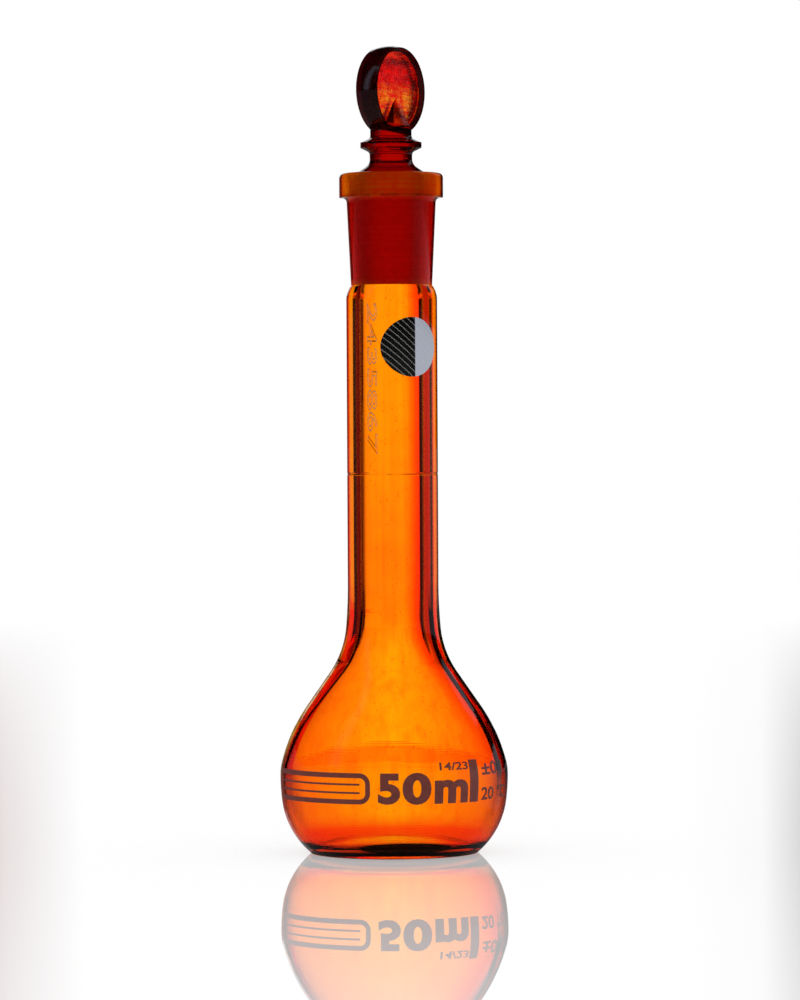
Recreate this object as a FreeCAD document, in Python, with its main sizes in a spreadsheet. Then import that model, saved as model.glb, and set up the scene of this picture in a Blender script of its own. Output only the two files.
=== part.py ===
import FreeCAD, Part
import math
import os
import Sketcher

# Wide-neck volumetric flask of 50 ml with its ground-in glass stopper, in millimetres.
# +Z runs up the neck, the origin is the middle of the ring it stands on, and the front is -Y.

SIZES = {
    # Blown bulb, outside, from the foot up
    "push_up": 1.5,              # rise of the hollow under the foot
    "bearing_radius": 14.0,      # inner edge of the ring that the flask stands on
    "lip_round": 0.8,            # edge between the hollow and that ring
    "heel_round": 0.8,           # edge between that ring and the bulb
    "lower_round": 16.9,         # arc of the lower bulb
    "belt_foot": 10.85,          # height where the lower bulb meets the belt
    "belt_round": 41.0,          # flatter arc just below the widest ring
    "equator": 16.1,             # height of the widest ring
    "bulb_radius": 23.47,        # widest ring of the bulb
    "crown_round": 11.75,        # tighter arc just above the widest ring
    "crown_top": 19.1,           # height where it meets the shoulder
    "shoulder_round": 36.0,      # arc of the shoulder
    "cone_angle": 34.7,          # straight flank under the neck, degrees from the axis
    "throat_round": 19.3,        # hollow arc from the flank into the neck
    "lead_round": 110.0,         # last slight flare at the foot of the neck
    "lead_length": 9.4,          # height of that flare
    # Neck and ring mark
    "neck_radius": 9.35,
    "bore_radius": 6.7,          # inside of the neck
    "mark_height": 78.0,         # ring mark: the flask holds its volume up to here
    "mark_width": 0.5,
    "mark_depth": 0.08,
    # Ground joint 14/23 at the top of the neck
    "flask_height": 139.8,
    "socket_radius": 7.25,       # wide end of the ground cone
    "socket_length": 23.0,       # length of the ground cone
    "joint_taper": 0.05,         # loss of radius for each length, 1 in 10 on the diameter
    "bore_run": 2.8,             # height of the widening from the cone to the bore
    "waist_radius": 8.35,        # outside of the neck at the foot of the cone
    "waist_round": 5.0,          # shoulder of the neck just below the waist
    "collar_radius": 9.17,       # outside of the neck under the rim
    "rim_height": 5.1,
    "rim_radius": 10.7,
    "rim_round": 0.9,            # top edge of the rim
    "rim_edge": 0.25,            # lower edge of the rim
    "under_rim_round": 0.9,      # hollow corner under the rim
    "mouth_round": 0.4,          # inner edge of the mouth
    # Glass inside the bulb
    "bulb_wall": 1.02,
    "bottom_wall": 1.6,          # glass over the hollow under the foot
    "inner_corner": 5.0,         # arc between the wall and the floor inside
    # Stopper, heights from the rim up
    "joint_clearance": 0.04,     # radial gap in the ground joint
    "plug_edge": 0.5,            # rounded lower edge of the plug
    "stem_waist_radius": 4.38,
    "stem_waist_height": 2.9,
    "flare_round": 1.9,          # hollow arc from the plug up to the waist
    "knop_height": 5.77,         # middle of the knop, the ring that the fingers hold
    "knop_radius": 6.32,
    "knop_land": 1.1,            # flat band round its edge
    "knop_half_height": 2.0,     # from its middle to where it runs out on the stem
    "knop_round": 0.8,           # hollow arcs above and below it
    "stem_radius": 4.27,
    "stem_height": 9.6,          # where the stem ends inside the head
    # Tongue: the glass that runs out from the stem over both faces of the head
    "tongue_foot": 9.5,
    "tongue_rise": 6.2,
    "tongue_foot_width": 10.2,   # along the face
    "tongue_foot_depth": 7.2,    # through the head
    "tongue_tip_width": 3.2,
    "tongue_tip_depth": 3.0,
    # Flat round head of the stopper, standing on edge
    "head_height": 16.95,        # middle of the head
    "head_radius": 9.16,
    "head_thickness": 5.1,
    "head_land": 1.8,            # flat band round the middle of the edge
    "head_bevel": 0.3,           # loss of radius from that band to the faces
    "dish_radius": 8.55,         # rim of the dish in each face
    "dish_floor_radius": 8.3,
    "dish_depth": 1.0,
    "head_turn": -34.0,          # direction that a face looks, degrees from +X
    # Round foil seal on the neck
    "foil_radius": 6.1,
    "foil_thickness": 0.1,
    "foil_drop": 12.8,           # below the foot of the ground cone
    "foil_turn": -64.0,          # direction of its middle, degrees from +X
}

doc = FreeCAD.newDocument("volumetric_flask")
sheet = doc.addObject("Spreadsheet::Sheet", "Sizes")
for row, (name, value) in enumerate(SIZES.items(), start=1):
    sheet.set(f"A{row}", name)
    sheet.set(f"B{row}", str(value))
    sheet.setAlias(f"B{row}", name)
doc.recompute()


class Size:
    """A size with its number and the formula of the sheet that drives it."""

    def __init__(self, number, formula):
        self.number = number
        self.formula = formula

    def __add__(self, other):
        return Size(self.number + other.number, f"({self.formula} + {other.formula})")

    def __sub__(self, other):
        return Size(self.number - other.number, f"({self.formula} - {other.formula})")

    def __mul__(self, other):
        return Size(self.number * other.number, f"({self.formula} * {other.formula})")

    def __truediv__(self, other):
        return Size(self.number / other.number, f"({self.formula} / {other.formula})")


def size(name):
    return Size(float(sheet.get(name)), f"Sizes.{name}")


def number(value):
    return value.number if isinstance(value, Size) else value


ZERO = Size(0.0, "0")
HALF = Size(0.5, "0.5")


class Outline:
    """A closed outline, drawn point by point in one of a body's origin planes.

    A coordinate given as a Size is pinned to the sheet. One given as a plain
    number is only where the solver starts, and smooth joints settle it.
    """

    def __init__(self, body, name, plane_role="XZ_Plane"):
        self.sketch = body.newObject("Sketcher::SketchObject", name)
        planes = [item for item in body.Origin.OriginFeatures if item.Role == plane_role]
        self.sketch.AttachmentSupport = [(planes[0], "")]
        self.sketch.MapMode = "FlatFace"
        self.first = None
        self.last = None

    def start(self, across, up):
        self.begin = (across, up)
        self.here = (number(across), number(up))

    def bind(self, *constraint, formula):
        index = self.sketch.addConstraint(Sketcher.Constraint(*constraint))
        self.sketch.setExpression(f"Constraints[{index}]", formula)

    def pin(self, edge, end, across, up):
        for kind, value, axis in (("DistanceX", across, -2), ("DistanceY", up, -1)):
            if not isinstance(value, Size):
                continue
            if value is ZERO:
                self.sketch.addConstraint(Sketcher.Constraint("PointOnObject", edge, end, axis))
            else:
                self.bind(kind, -1, 1, edge, end, value.number, formula=value.formula)

    def join(self, edge, tail, head, across, up, smooth):
        if self.last is None:
            self.first = (edge, tail)
            self.pin(edge, tail, *self.begin)
        else:
            kind = "Tangent" if smooth else "Coincident"
            self.sketch.addConstraint(Sketcher.Constraint(kind, *self.last, edge, tail))
        self.pin(edge, head, across, up)
        self.last = (edge, head)
        self.here = (number(across), number(up))

    def line(self, across, up, smooth=False, angle=None):
        start = FreeCAD.Vector(*self.here, 0)
        end = FreeCAD.Vector(number(across), number(up), 0)
        edge = self.sketch.addGeometry(Part.LineSegment(start, end))
        self.join(edge, 1, 2, across, up, smooth)
        if angle is not None:
            self.bind("Angle", edge, math.radians(angle.number), formula=angle.formula)

    def arc(self, across, up, centre, radius=None, smooth=True, rise=None):
        middle = FreeCAD.Vector(number(centre[0]), number(centre[1]), 0)
        start = FreeCAD.Vector(*self.here, 0) - middle
        end = FreeCAD.Vector(number(across), number(up), 0) - middle
        circle = Part.Circle(middle, FreeCAD.Vector(0, 0, 1), start.Length)
        start_angle = math.atan2(start.y, start.x)
        end_angle = math.atan2(end.y, end.x)
        if start.cross(end).z > 0:
            edge = self.sketch.addGeometry(Part.ArcOfCircle(circle, start_angle, end_angle))
            tail, head = 1, 2
        else:
            edge = self.sketch.addGeometry(Part.ArcOfCircle(circle, end_angle, start_angle))
            tail, head = 2, 1
        self.join(edge, tail, head, across, up, smooth)
        self.pin(edge, 3, *centre)
        if radius is not None:
            self.bind("Radius", edge, radius.number, formula=radius.formula)
        if rise is not None:
            self.bind("DistanceY", edge, tail, edge, head, rise.number, formula=rise.formula)

    def close(self):
        self.line(*(number(value) for value in self.begin))
        self.sketch.addConstraint(Sketcher.Constraint("Coincident", *self.last, *self.first))
        return self.sketch


def turned(body, name, sketch, kind="Revolution", axis="V_Axis"):
    """Turn an outline about its axis, to add glass or to take it away."""
    feature = body.newObject(f"PartDesign::{kind}", name)
    feature.Profile = sketch
    feature.ReferenceAxis = (sketch, [axis])
    feature.Angle = 360
    doc.recompute()
    return feature


def along(start, end, distance):
    """The point at a distance from start towards end."""
    length = math.dist(start, end)
    return tuple(a + (b - a) * distance / length for a, b in zip(start, end))


def polar(centre, radius, angle):
    return (centre[0] + radius * math.cos(angle), centre[1] + radius * math.sin(angle))


def meeting(centre_a, radius_a, centre_b, radius_b):
    """Where two circles cross, on the right of the way from the first centre to the second."""
    gap = math.dist(centre_a, centre_b)
    foot = (gap**2 + radius_a**2 - radius_b**2) / (2 * gap)
    side = math.sqrt(radius_a**2 - foot**2)
    middle = along(centre_a, centre_b, foot)
    away = ((centre_b[0] - centre_a[0]) / gap, (centre_b[1] - centre_a[1]) / gap)
    return (middle[0] + away[1] * side, middle[1] - away[0] * side)


class BulbSide:
    """The arcs of the bulb from its lower part up to the neck, at a depth in the glass."""

    def __init__(self, depth, neck):
        self.neck = neck
        self.lower = size("lower_round") - depth
        self.belt = size("belt_round") - depth
        self.crown = size("crown_round") - depth
        self.shoulder = size("shoulder_round") - depth
        self.throat = size("throat_round") + depth
        self.lead = size("lead_round") + depth
        self.equator = size("equator")
        self.widest = size("bulb_radius") - depth
        belt_slope = (self.equator - size("belt_foot")) / size("belt_round")
        crown_slope = (size("crown_top") - self.equator) / size("crown_round")
        self.belt_foot = self.equator - self.belt * belt_slope
        self.crown_top = self.equator + self.crown * crown_slope
        self.belt_angle = -math.asin(belt_slope.number)
        self.crown_angle = math.asin(crown_slope.number)
        widest_point = (self.widest.number, self.equator.number)
        self.belt_centre = along(widest_point, (0, widest_point[1]), self.belt.number)
        self.belt_end = polar(self.belt_centre, self.belt.number, self.belt_angle)
        self.lower_centre = polar(self.belt_end, -self.lower.number, self.belt_angle)

    def draw(self, outline):
        """Go on from the start of the lower arc, where the outline has come to."""
        outline.arc(self.belt_end[0], self.belt_foot, self.lower_centre, self.lower)
        outline.arc(self.widest, self.equator, (self.belt_centre[0], self.equator), self.belt)
        crown_centre = (self.widest.number - self.crown.number, self.equator.number)
        crown_end = polar(crown_centre, self.crown.number, self.crown_angle)
        outline.arc(crown_end[0], self.crown_top, crown_centre, self.crown)
        shoulder_centre = polar(crown_end, -self.shoulder.number, self.crown_angle)
        flank = math.radians(size("cone_angle").number)
        flank_foot = polar(shoulder_centre, self.shoulder.number, flank)
        outline.arc(*flank_foot, shoulder_centre, self.shoulder)
        lead_angle = math.asin(size("lead_length").number / self.lead.number)
        lead_foot_radius = self.neck.number + self.lead.number * (1 - math.cos(lead_angle))
        throat_centre_radius = lead_foot_radius + self.throat.number * math.cos(lead_angle)
        flank_top_radius = throat_centre_radius - self.throat.number * math.cos(flank)
        flank_rise = (flank_foot[0] - flank_top_radius) / math.tan(flank)
        flank_top = (flank_top_radius, flank_foot[1] + flank_rise)
        right_angle = Size(90, "90")
        outline.line(*flank_top, smooth=True, angle=right_angle + size("cone_angle"))
        throat_centre = polar(flank_top, self.throat.number, flank)
        lead_foot = polar(throat_centre, -self.throat.number, lead_angle)
        outline.arc(*lead_foot, throat_centre, self.throat)
        lead_centre = polar(lead_foot, self.lead.number, lead_angle)
        outline.arc(self.neck, lead_centre[1], lead_centre, self.lead, rise=size("lead_length"))


# The dome under the foot is part of a large ball, and the floor inside follows it.
push_up = size("push_up")
lip_round = size("lip_round")
dome_reach = size("bearing_radius") * size("bearing_radius")
dome_reach = dome_reach - push_up * push_up - push_up * lip_round - push_up * lip_round
dome_depth = dome_reach / (push_up + push_up)
dome_radius = dome_depth + push_up
dome_centre = (0.0, -dome_depth.number)

rim_top = size("flask_height")
waist_height = rim_top - size("socket_length")
rim_foot = rim_top - size("rim_height")


def draw_foot(outline, side):
    """The hollow under the foot, the ring that the flask stands on, and its heel."""
    lip = lip_round.number
    lip_centre = (size("bearing_radius").number, lip)
    outline.start(ZERO, push_up)
    dome_end = along(dome_centre, lip_centre, dome_radius.number)
    outline.arc(*dome_end, (ZERO, dome_centre[1]))
    outline.arc(size("bearing_radius"), ZERO, lip_centre, lip_round)
    heel = size("heel_round").number
    heel_reach = side.lower.number - heel
    heel_drop = side.lower_centre[1] - heel
    heel_centre = (side.lower_centre[0] + math.sqrt(heel_reach**2 - heel_drop**2), heel)
    outline.line(heel_centre[0], ZERO, smooth=True)
    heel_end = along(side.lower_centre, heel_centre, side.lower.number)
    outline.arc(*heel_end, heel_centre, size("heel_round"))


def draw_mouth(outline):
    """The neck, the waist at the foot of the ground cone, and the rim."""
    neck = size("neck_radius")
    waist = size("waist_radius")
    waist_round = size("waist_round")
    waist_drop = math.sqrt(waist_round.number**2 - (waist_round - neck + waist).number ** 2)
    neck_top = waist_height.number - waist_drop
    outline.line(neck, neck_top, smooth=True)
    waist_centre = (neck.number - waist_round.number, neck_top)
    outline.arc(waist, waist_height, waist_centre, waist_round)
    collar = size("collar_radius")
    under_round = size("under_rim_round")
    outline.line(collar, rim_foot - under_round)
    under_centre = ((collar + under_round).number, rim_foot - under_round)
    outline.arc(collar + under_round, rim_foot, under_centre, smooth=False)
    rim = size("rim_radius")
    edge = size("rim_edge")
    outline.line(rim - edge, rim_foot)
    edge_centre = ((rim - edge).number, rim_foot + edge)
    outline.arc(rim, rim_foot + edge, edge_centre, smooth=False)
    rim_round = size("rim_round")
    outline.line(rim, rim_top - rim_round)
    round_centre = ((rim - rim_round).number, rim_top - rim_round)
    outline.arc(rim - rim_round, rim_top, round_centre, smooth=False)
    outline.line(ZERO, rim_top)


def make_flask():
    """Blown in one piece: bulb, neck and rim, with the ground cone and the ring mark cut in."""
    body = doc.addObject("PartDesign::Body", "flask")
    body.Label = "flask"

    outside = BulbSide(ZERO, size("neck_radius"))
    outline = Outline(body, "outside_outline")
    draw_foot(outline, outside)
    outside.draw(outline)
    draw_mouth(outline)
    turned(body, "blown_glass", outline.close())

    inside = BulbSide(size("bulb_wall"), size("bore_radius"))
    floor_radius = dome_radius + size("bottom_wall")
    corner = size("inner_corner")
    corner_centre = meeting(
        dome_centre, floor_radius.number + corner.number,
        inside.lower_centre, inside.lower.number - corner.number)
    outline = Outline(body, "hollow_outline")
    outline.start(ZERO, push_up + size("bottom_wall"))
    floor_end = along(dome_centre, corner_centre, floor_radius.number)
    outline.arc(*floor_end, (ZERO, dome_centre[1]), floor_radius)
    corner_end = along(inside.lower_centre, corner_centre, inside.lower.number)
    outline.arc(*corner_end, corner_centre, corner)
    inside.draw(outline)
    cone_foot_radius = size("socket_radius") - size("socket_length") * size("joint_taper")
    outline.line(size("bore_radius"), waist_height - size("bore_run"), smooth=True)
    outline.line(cone_foot_radius, waist_height)
    outline.line(ZERO, waist_height)
    turned(body, "hollow", outline.close(), "Groove")

    mouth = size("mouth_round")
    outline = Outline(body, "socket_outline")
    outline.start(ZERO, waist_height)
    outline.line(cone_foot_radius, waist_height)
    mouth_radius = size("socket_radius") - mouth * size("joint_taper")
    outline.line(mouth_radius, rim_top - mouth)
    mouth_centre = ((mouth_radius + mouth).number, rim_top - mouth)
    outline.arc(mouth_radius + mouth, rim_top, mouth_centre, smooth=False)
    outline.line(ZERO, rim_top)
    turned(body, "ground_socket", outline.close(), "Groove")

    outline = Outline(body, "ring_mark_outline")
    mark_foot = size("mark_height") - size("mark_width") * HALF
    mark_head = size("mark_height") + size("mark_width") * HALF
    outline.start(size("neck_radius") - size("mark_depth"), mark_foot)
    outline.line(size("neck_radius") + size("mark_depth"), mark_foot)
    outline.line(size("neck_radius") + size("mark_depth"), mark_head)
    outline.line(size("neck_radius") - size("mark_depth"), mark_head)
    turned(body, "ring_mark", outline.close(), "Groove")
    return body


def run_out(outline, corner, stem, level, hollow, outward=False):
    """A slope from a corner into a hollow arc that ends upright on the stem, or the way back."""
    centre = ((stem + hollow).number, level.number)
    point = (corner[0].number, corner[1].number)
    slope_length = math.sqrt(math.dist(point, centre) ** 2 - hollow.number**2)
    if outward:
        slope_end = meeting(point, slope_length, centre, hollow.number)
        outline.line(stem, level, smooth=True)
        outline.arc(*slope_end, centre, hollow)
        outline.line(*corner, smooth=True)
    else:
        slope_end = meeting(centre, hollow.number, point, slope_length)
        outline.line(*slope_end)
        outline.arc(stem, level, centre, hollow)


def draw_stem(outline):
    """The ground plug, the waist, the knop and the stem that runs out over the head."""
    plug_foot_height = waist_height
    plug_radius = size("socket_radius") - size("joint_clearance")
    foot_radius = plug_radius - size("socket_length") * size("joint_taper")
    edge = size("plug_edge")
    outline.start(ZERO, plug_foot_height)
    outline.line(foot_radius - edge, plug_foot_height)
    edge_centre = ((foot_radius - edge).number, plug_foot_height + edge)
    outline.arc(foot_radius, plug_foot_height + edge, edge_centre, smooth=False)
    outline.line(plug_radius, rim_top)

    waist = size("stem_waist_radius")
    waist_level = rim_top + size("stem_waist_height")
    plug_corner = (plug_radius, rim_top)
    run_out(outline, plug_corner, waist, waist_level, size("flare_round"))

    knop_level = rim_top + size("knop_height")
    knop_foot = knop_level - size("knop_half_height")
    knop_head = knop_level + size("knop_half_height")
    knop_round = size("knop_round")
    land = size("knop_land") * HALF
    lower_edge = (size("knop_radius"), knop_level - land)
    upper_edge = (size("knop_radius"), knop_level + land)
    run_out(outline, lower_edge, waist, knop_foot, knop_round, outward=True)
    outline.line(*upper_edge)
    run_out(outline, upper_edge, size("stem_radius"), knop_head, knop_round)
    outline.line(size("stem_radius"), rim_top + size("stem_height"), smooth=True)
    outline.line(ZERO, rim_top + size("stem_height"))


def draw_head(outline):
    """Half the section of the round head: across is its thickness, up is its radius."""
    face = size("head_thickness") * HALF
    floor = face - size("dish_depth")
    land = size("head_land") * HALF
    edge_radius = size("head_radius") - size("head_bevel")
    outline.start(ZERO - floor, ZERO)
    outline.line(ZERO - floor, size("dish_floor_radius"))
    outline.line(ZERO - face, size("dish_radius"))
    outline.line(ZERO - face, edge_radius)
    outline.line(ZERO - land, size("head_radius"))
    outline.line(land, size("head_radius"))
    outline.line(face, edge_radius)
    outline.line(face, size("dish_radius"))
    outline.line(floor, size("dish_floor_radius"))
    outline.line(floor, ZERO)


def oval(body, name, level, width, depth):
    """A level ellipse across the head: its width along the faces, its depth through them."""
    outline = Outline(body, name, "XY_Plane")
    turn = FreeCAD.Rotation(FreeCAD.Vector(0, 0, 1), size("head_turn").number)
    outline.sketch.AttachmentOffset = FreeCAD.Placement(FreeCAD.Vector(0, 0, 0), turn)
    outline.sketch.setExpression(".AttachmentOffset.Base.z", level.formula)
    centre = FreeCAD.Vector(0, 0, 0)
    across = FreeCAD.Vector(0, width.number / 2, 0)
    through = FreeCAD.Vector(depth.number / 2, 0, 0)
    edge = outline.sketch.addGeometry(Part.Ellipse(across, through, centre))
    outline.sketch.exposeInternalGeometry(edge)
    wide_axis = edge + 1
    deep_axis = edge + 2
    outline.sketch.addConstraint(Sketcher.Constraint("Coincident", edge, 3, -1, 1))
    outline.sketch.addConstraint(Sketcher.Constraint("Vertical", wide_axis))
    outline.bind("Distance", wide_axis, width.number, formula=width.formula)
    outline.bind("Distance", deep_axis, depth.number, formula=depth.formula)
    return outline.sketch


def make_stopper():
    """Pressed in one piece and ground: plug, knop, stem and a round dished head on edge."""
    body = doc.addObject("PartDesign::Body", "stopper")
    body.Label = "stopper"
    outline = Outline(body, "stem_outline")
    draw_stem(outline)
    turned(body, "plug_and_stem", outline.close())

    outline = Outline(body, "head_outline", "XY_Plane")
    middle = rim_top + size("head_height")
    turn = FreeCAD.Rotation(FreeCAD.Vector(0, 0, 1), size("head_turn").number)
    outline.sketch.AttachmentOffset = FreeCAD.Placement(FreeCAD.Vector(0, 0, 0), turn)
    outline.sketch.setExpression(".AttachmentOffset.Base.z", middle.formula)
    draw_head(outline)
    turned(body, "head", outline.close(), axis="H_Axis")

    foot_level = rim_top + size("tongue_foot")
    foot = oval(body, "tongue_foot_outline", foot_level,
                size("tongue_foot_width"), size("tongue_foot_depth"))
    tip = oval(body, "tongue_tip_outline", foot_level + size("tongue_rise"),
               size("tongue_tip_width"), size("tongue_tip_depth"))
    tongue = body.newObject("PartDesign::AdditiveLoft", "tongue")
    tongue.Profile = foot
    tongue.Sections = [tip]
    tongue.Ruled = True
    doc.recompute()
    return body


def make_foil_seal():
    """A round of thin foil stuck on the neck, bent to its curve."""
    outer = doc.addObject("Part::Cylinder", "foil_outer")
    inner = doc.addObject("Part::Cylinder", "foil_inner")
    die = doc.addObject("Part::Cylinder", "foil_die")
    reach = size("neck_radius") + size("foil_thickness")
    middle = waist_height - size("foil_drop")
    for tube, radius in ((outer, reach), (inner, size("neck_radius"))):
        tube.setExpression("Radius", radius.formula)
        tube.setExpression("Height", (size("foil_radius") + size("foil_radius")).formula)
        tube.setExpression(".Placement.Base.z", (middle - size("foil_radius")).formula)
    die.setExpression("Radius", size("foil_radius").formula)
    die.setExpression("Height", (reach + reach).formula)
    upright_to_level = FreeCAD.Rotation(FreeCAD.Vector(0, 1, 0), 90)
    turn = FreeCAD.Rotation(FreeCAD.Vector(0, 0, 1), size("foil_turn").number)
    die.Placement = FreeCAD.Placement(FreeCAD.Vector(0, 0, 0), turn * upright_to_level)
    die.setExpression(".Placement.Base.z", middle.formula)
    tube = doc.addObject("Part::Cut", "foil_tube")
    tube.Base = outer
    tube.Tool = inner
    foil = doc.addObject("Part::Common", "foil_seal")
    foil.Base = tube
    foil.Tool = die
    foil.Label = "foil_seal"
    return foil


pieces = [make_flask(), make_stopper(), make_foil_seal()]
doc.recompute()

for item in doc.Objects:
    if "Invalid" in item.State or "Error" in item.State:
        raise RuntimeError(f"{item.Name} could not be built: {item.State}")
    if item.isDerivedFrom("Sketcher::SketchObject") and item.solve() != 0:
        raise RuntimeError(f"{item.Name} could not be solved")

os.makedirs("parts", exist_ok=True)
for piece in pieces:
    shape = piece.Shape
    if shape.isNull() or not shape.isValid() or len(shape.Solids) != 1:
        raise RuntimeError(f"{piece.Label} is not one sound solid")
    shape.exportStep(f"parts/{piece.Label}.step")
    box = shape.BoundBox
    print(f"{piece.Label}: {shape.Volume:.1f} mm3, height {box.ZMin:.2f} to {box.ZMax:.2f}")
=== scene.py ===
import math

import bmesh
import bpy
import numpy as np
from mathutils import Matrix, Vector


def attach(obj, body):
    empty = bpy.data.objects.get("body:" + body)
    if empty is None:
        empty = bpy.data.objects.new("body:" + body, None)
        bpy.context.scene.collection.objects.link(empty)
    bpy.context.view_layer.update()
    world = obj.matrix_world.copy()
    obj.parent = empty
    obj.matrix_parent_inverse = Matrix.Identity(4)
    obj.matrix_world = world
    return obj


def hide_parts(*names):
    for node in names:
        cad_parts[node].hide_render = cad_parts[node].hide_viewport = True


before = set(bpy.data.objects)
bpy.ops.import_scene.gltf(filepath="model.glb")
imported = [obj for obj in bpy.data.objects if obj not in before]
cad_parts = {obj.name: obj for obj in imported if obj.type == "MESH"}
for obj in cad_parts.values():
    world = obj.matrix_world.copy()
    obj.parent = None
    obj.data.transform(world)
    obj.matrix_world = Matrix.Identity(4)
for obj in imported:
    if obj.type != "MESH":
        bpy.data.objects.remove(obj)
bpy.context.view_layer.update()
scene = bpy.context.scene
MM = 0.001


# Camera. A long lens a metre away, a little above the middle of the flask and looking slightly
# down on it, as for a catalogue picture. The flask leans by a third of a degree in the picture
# and stands a little left of its middle.
CAMERA_DISTANCE = 1.0
CAMERA_HEIGHT = 88 * MM
AIM_HEIGHT = 72.6 * MM
AIM_RIGHT = 1.5 * MM
PICTURE_HEIGHT = 205.9 * MM
SENSOR = 36.0
LEAN = math.radians(0.3)

camera_data = bpy.data.cameras.new("camera")
camera_data.sensor_width = SENSOR
camera_data.lens = SENSOR * CAMERA_DISTANCE / PICTURE_HEIGHT
camera = bpy.data.objects.new("camera", camera_data)
scene.collection.objects.link(camera)
camera.location = (AIM_RIGHT, -CAMERA_DISTANCE, CAMERA_HEIGHT)
aim = Vector((AIM_RIGHT, 0, AIM_HEIGHT)) - camera.location
lean = Matrix.Rotation(-LEAN, 3, "Z").to_quaternion()
camera.rotation_euler = (aim.to_track_quat("-Z", "Y") @ lean).to_euler()
scene.camera = camera
scene.view_settings.view_transform = "Standard"


# Studio. A glossy white table mirrors the flask near its foot, and a painted shadow darkens it in a
# disc under the foot. Curved walls stand round it and turn with the camera: a white one right behind
# the glass, black flags at its sides, which draw the dark lines along the glass, and dim or glowing
# ones beyond, for the shine on its skin.
TABLE_SIZE = 30.0
TABLE_DROP = 0.02 * MM
TABLE_GLOW = 0.6
TABLE_IN_GLOSS = (0.14, 0.14, 0.14, 1)
TABLE_THROUGH_GLASS = (1.0, 0.8, 0.8, 1)
# Painted shadow: the table's colour in a disc under the flask's foot.
TABLE_PAINTED_SHADOW = (0.02, 0.004, 0.002, 1)
TABLE_IOR = 1.5
GLOW_THROUGH_GLASS = 0.25
UNDER_FOOT = (0.0155, 0.0175)
CLOSE_TO_FOOT = (0.022, 0.06)
MIRROR_CLOSE = 0.66
MIRROR_GAIN = 1.17
MIRROR_FADE = (0.02, 1.2)
MIRROR_ROUGHNESS = 0.004
CLEAR = (1, 1, 1, 1)
WALL_STEP = math.radians(1.5)
WALL_FOOT = -0.3
FOOT_DISTANCE = 0.365
LINE_DISTANCE = 0.363
BACK_DISTANCE = 0.37
SIDE_DISTANCE = 0.36
FAR_DISTANCE = 1.5
SOFTBOX_DISTANCE = 0.5
STRIP_DISTANCE = 0.45
LINE_FOOT = 0.0205
LINE_TOP = 0.0225
SOFTBOX_TOP = 0.125
FLAG_TOP = 0.13
FRONT_FOOT = 0.135
STRIP_FOOT = 0.14
GLEAM_TOP = 0.16
STRIP_LIGHT_FOOT = 0.165
HIGH_FOOT = 0.24
SKY_FOOT = 0.25
WALL_TOP = 0.8
SKY_TOP = 0.9
BLACK = (0, 0, 0)
PURE_WHITE = (1, 1, 1)
WHITE = (1.15, 1.15, 1.15)
SKIN_SHINE = (0.25, 0.05, 0.04)
DIM_RIGHT = (0.5, 0.04, 0.03)
DIM_LEFT = (0.14, 0.012, 0.01)
GLEAM = (1.1, 0.2, 0.2)
THROUGH_HEAD = (1.8, 1.4, 1.2)
FRONT_GLOW = (0.8, 0.75, 0.7)
SOFTBOX_RIGHT = (0.40, 0.43, 0.50)
SOFTBOX_LEFT = (0.1, 0.11, 0.14)
SOFTBOX_HIGH = (0.5, 0.54, 0.62)


def add(tree, kind, inputs=(), out=0, **settings):
    """Add a node, set or link its inputs by place or name, and give back one of its outputs."""
    made = tree.nodes.new(kind)
    for name, value in settings.items():
        setattr(made, name, value)
    pairs = inputs.items() if isinstance(inputs, dict) else enumerate(inputs)
    for name, value in pairs:
        if isinstance(value, bpy.types.NodeSocket):
            tree.links.new(value, made.inputs[name])
        elif value is not None:
            made.inputs[name].default_value = value
    return made.outputs[out] if made.outputs else made


def reckon(tree, how, *values, **settings):
    """A sum on single values, such as SUBTRACT or POWER."""
    return add(tree, "ShaderNodeMath", values, operation=how, **settings)


def times(tree, *values, **settings):
    """The product of single values."""
    return reckon(tree, "MULTIPLY", *values, **settings)


def vectors(tree, how, *values, **settings):
    """A sum on vectors."""
    return add(tree, "ShaderNodeVectorMath", values, operation=how, **settings)


def ramp(tree, value, start, end, first, last):
    """A result that runs from first to last as the value goes from start to end, and no further."""
    return add(tree, "ShaderNodeMapRange", [value, start, end, first, last])


def mix_colour(tree, share, first, second):
    return add(tree, "ShaderNodeMix", {0: share, 6: first, 7: second}, out=2, data_type="RGBA")


def mirrored_ray(tree):
    """1 for a ray that comes from a mirror image, and 0 for one that came through glass."""
    rays = add(tree, "ShaderNodeLightPath").node.outputs
    return reckon(tree, "SUBTRACT", rays["Is Glossy Ray"], rays["Is Transmission Ray"], use_clamp=True)


def new_material(name):
    """An empty node material: its tree and its output node."""
    material = bpy.data.materials.new(name)
    material.use_nodes = True
    material.node_tree.nodes.clear()
    output = material.node_tree.nodes.new("ShaderNodeOutputMaterial")
    return material, material.node_tree, output


def new_piece(name, mesh, material=None):
    """A mesh made into an object of the scene."""
    piece = bpy.data.objects.new(name, mesh)
    scene.collection.objects.link(piece)
    if material is not None:
        piece.data.materials.append(material)
    return piece


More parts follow.
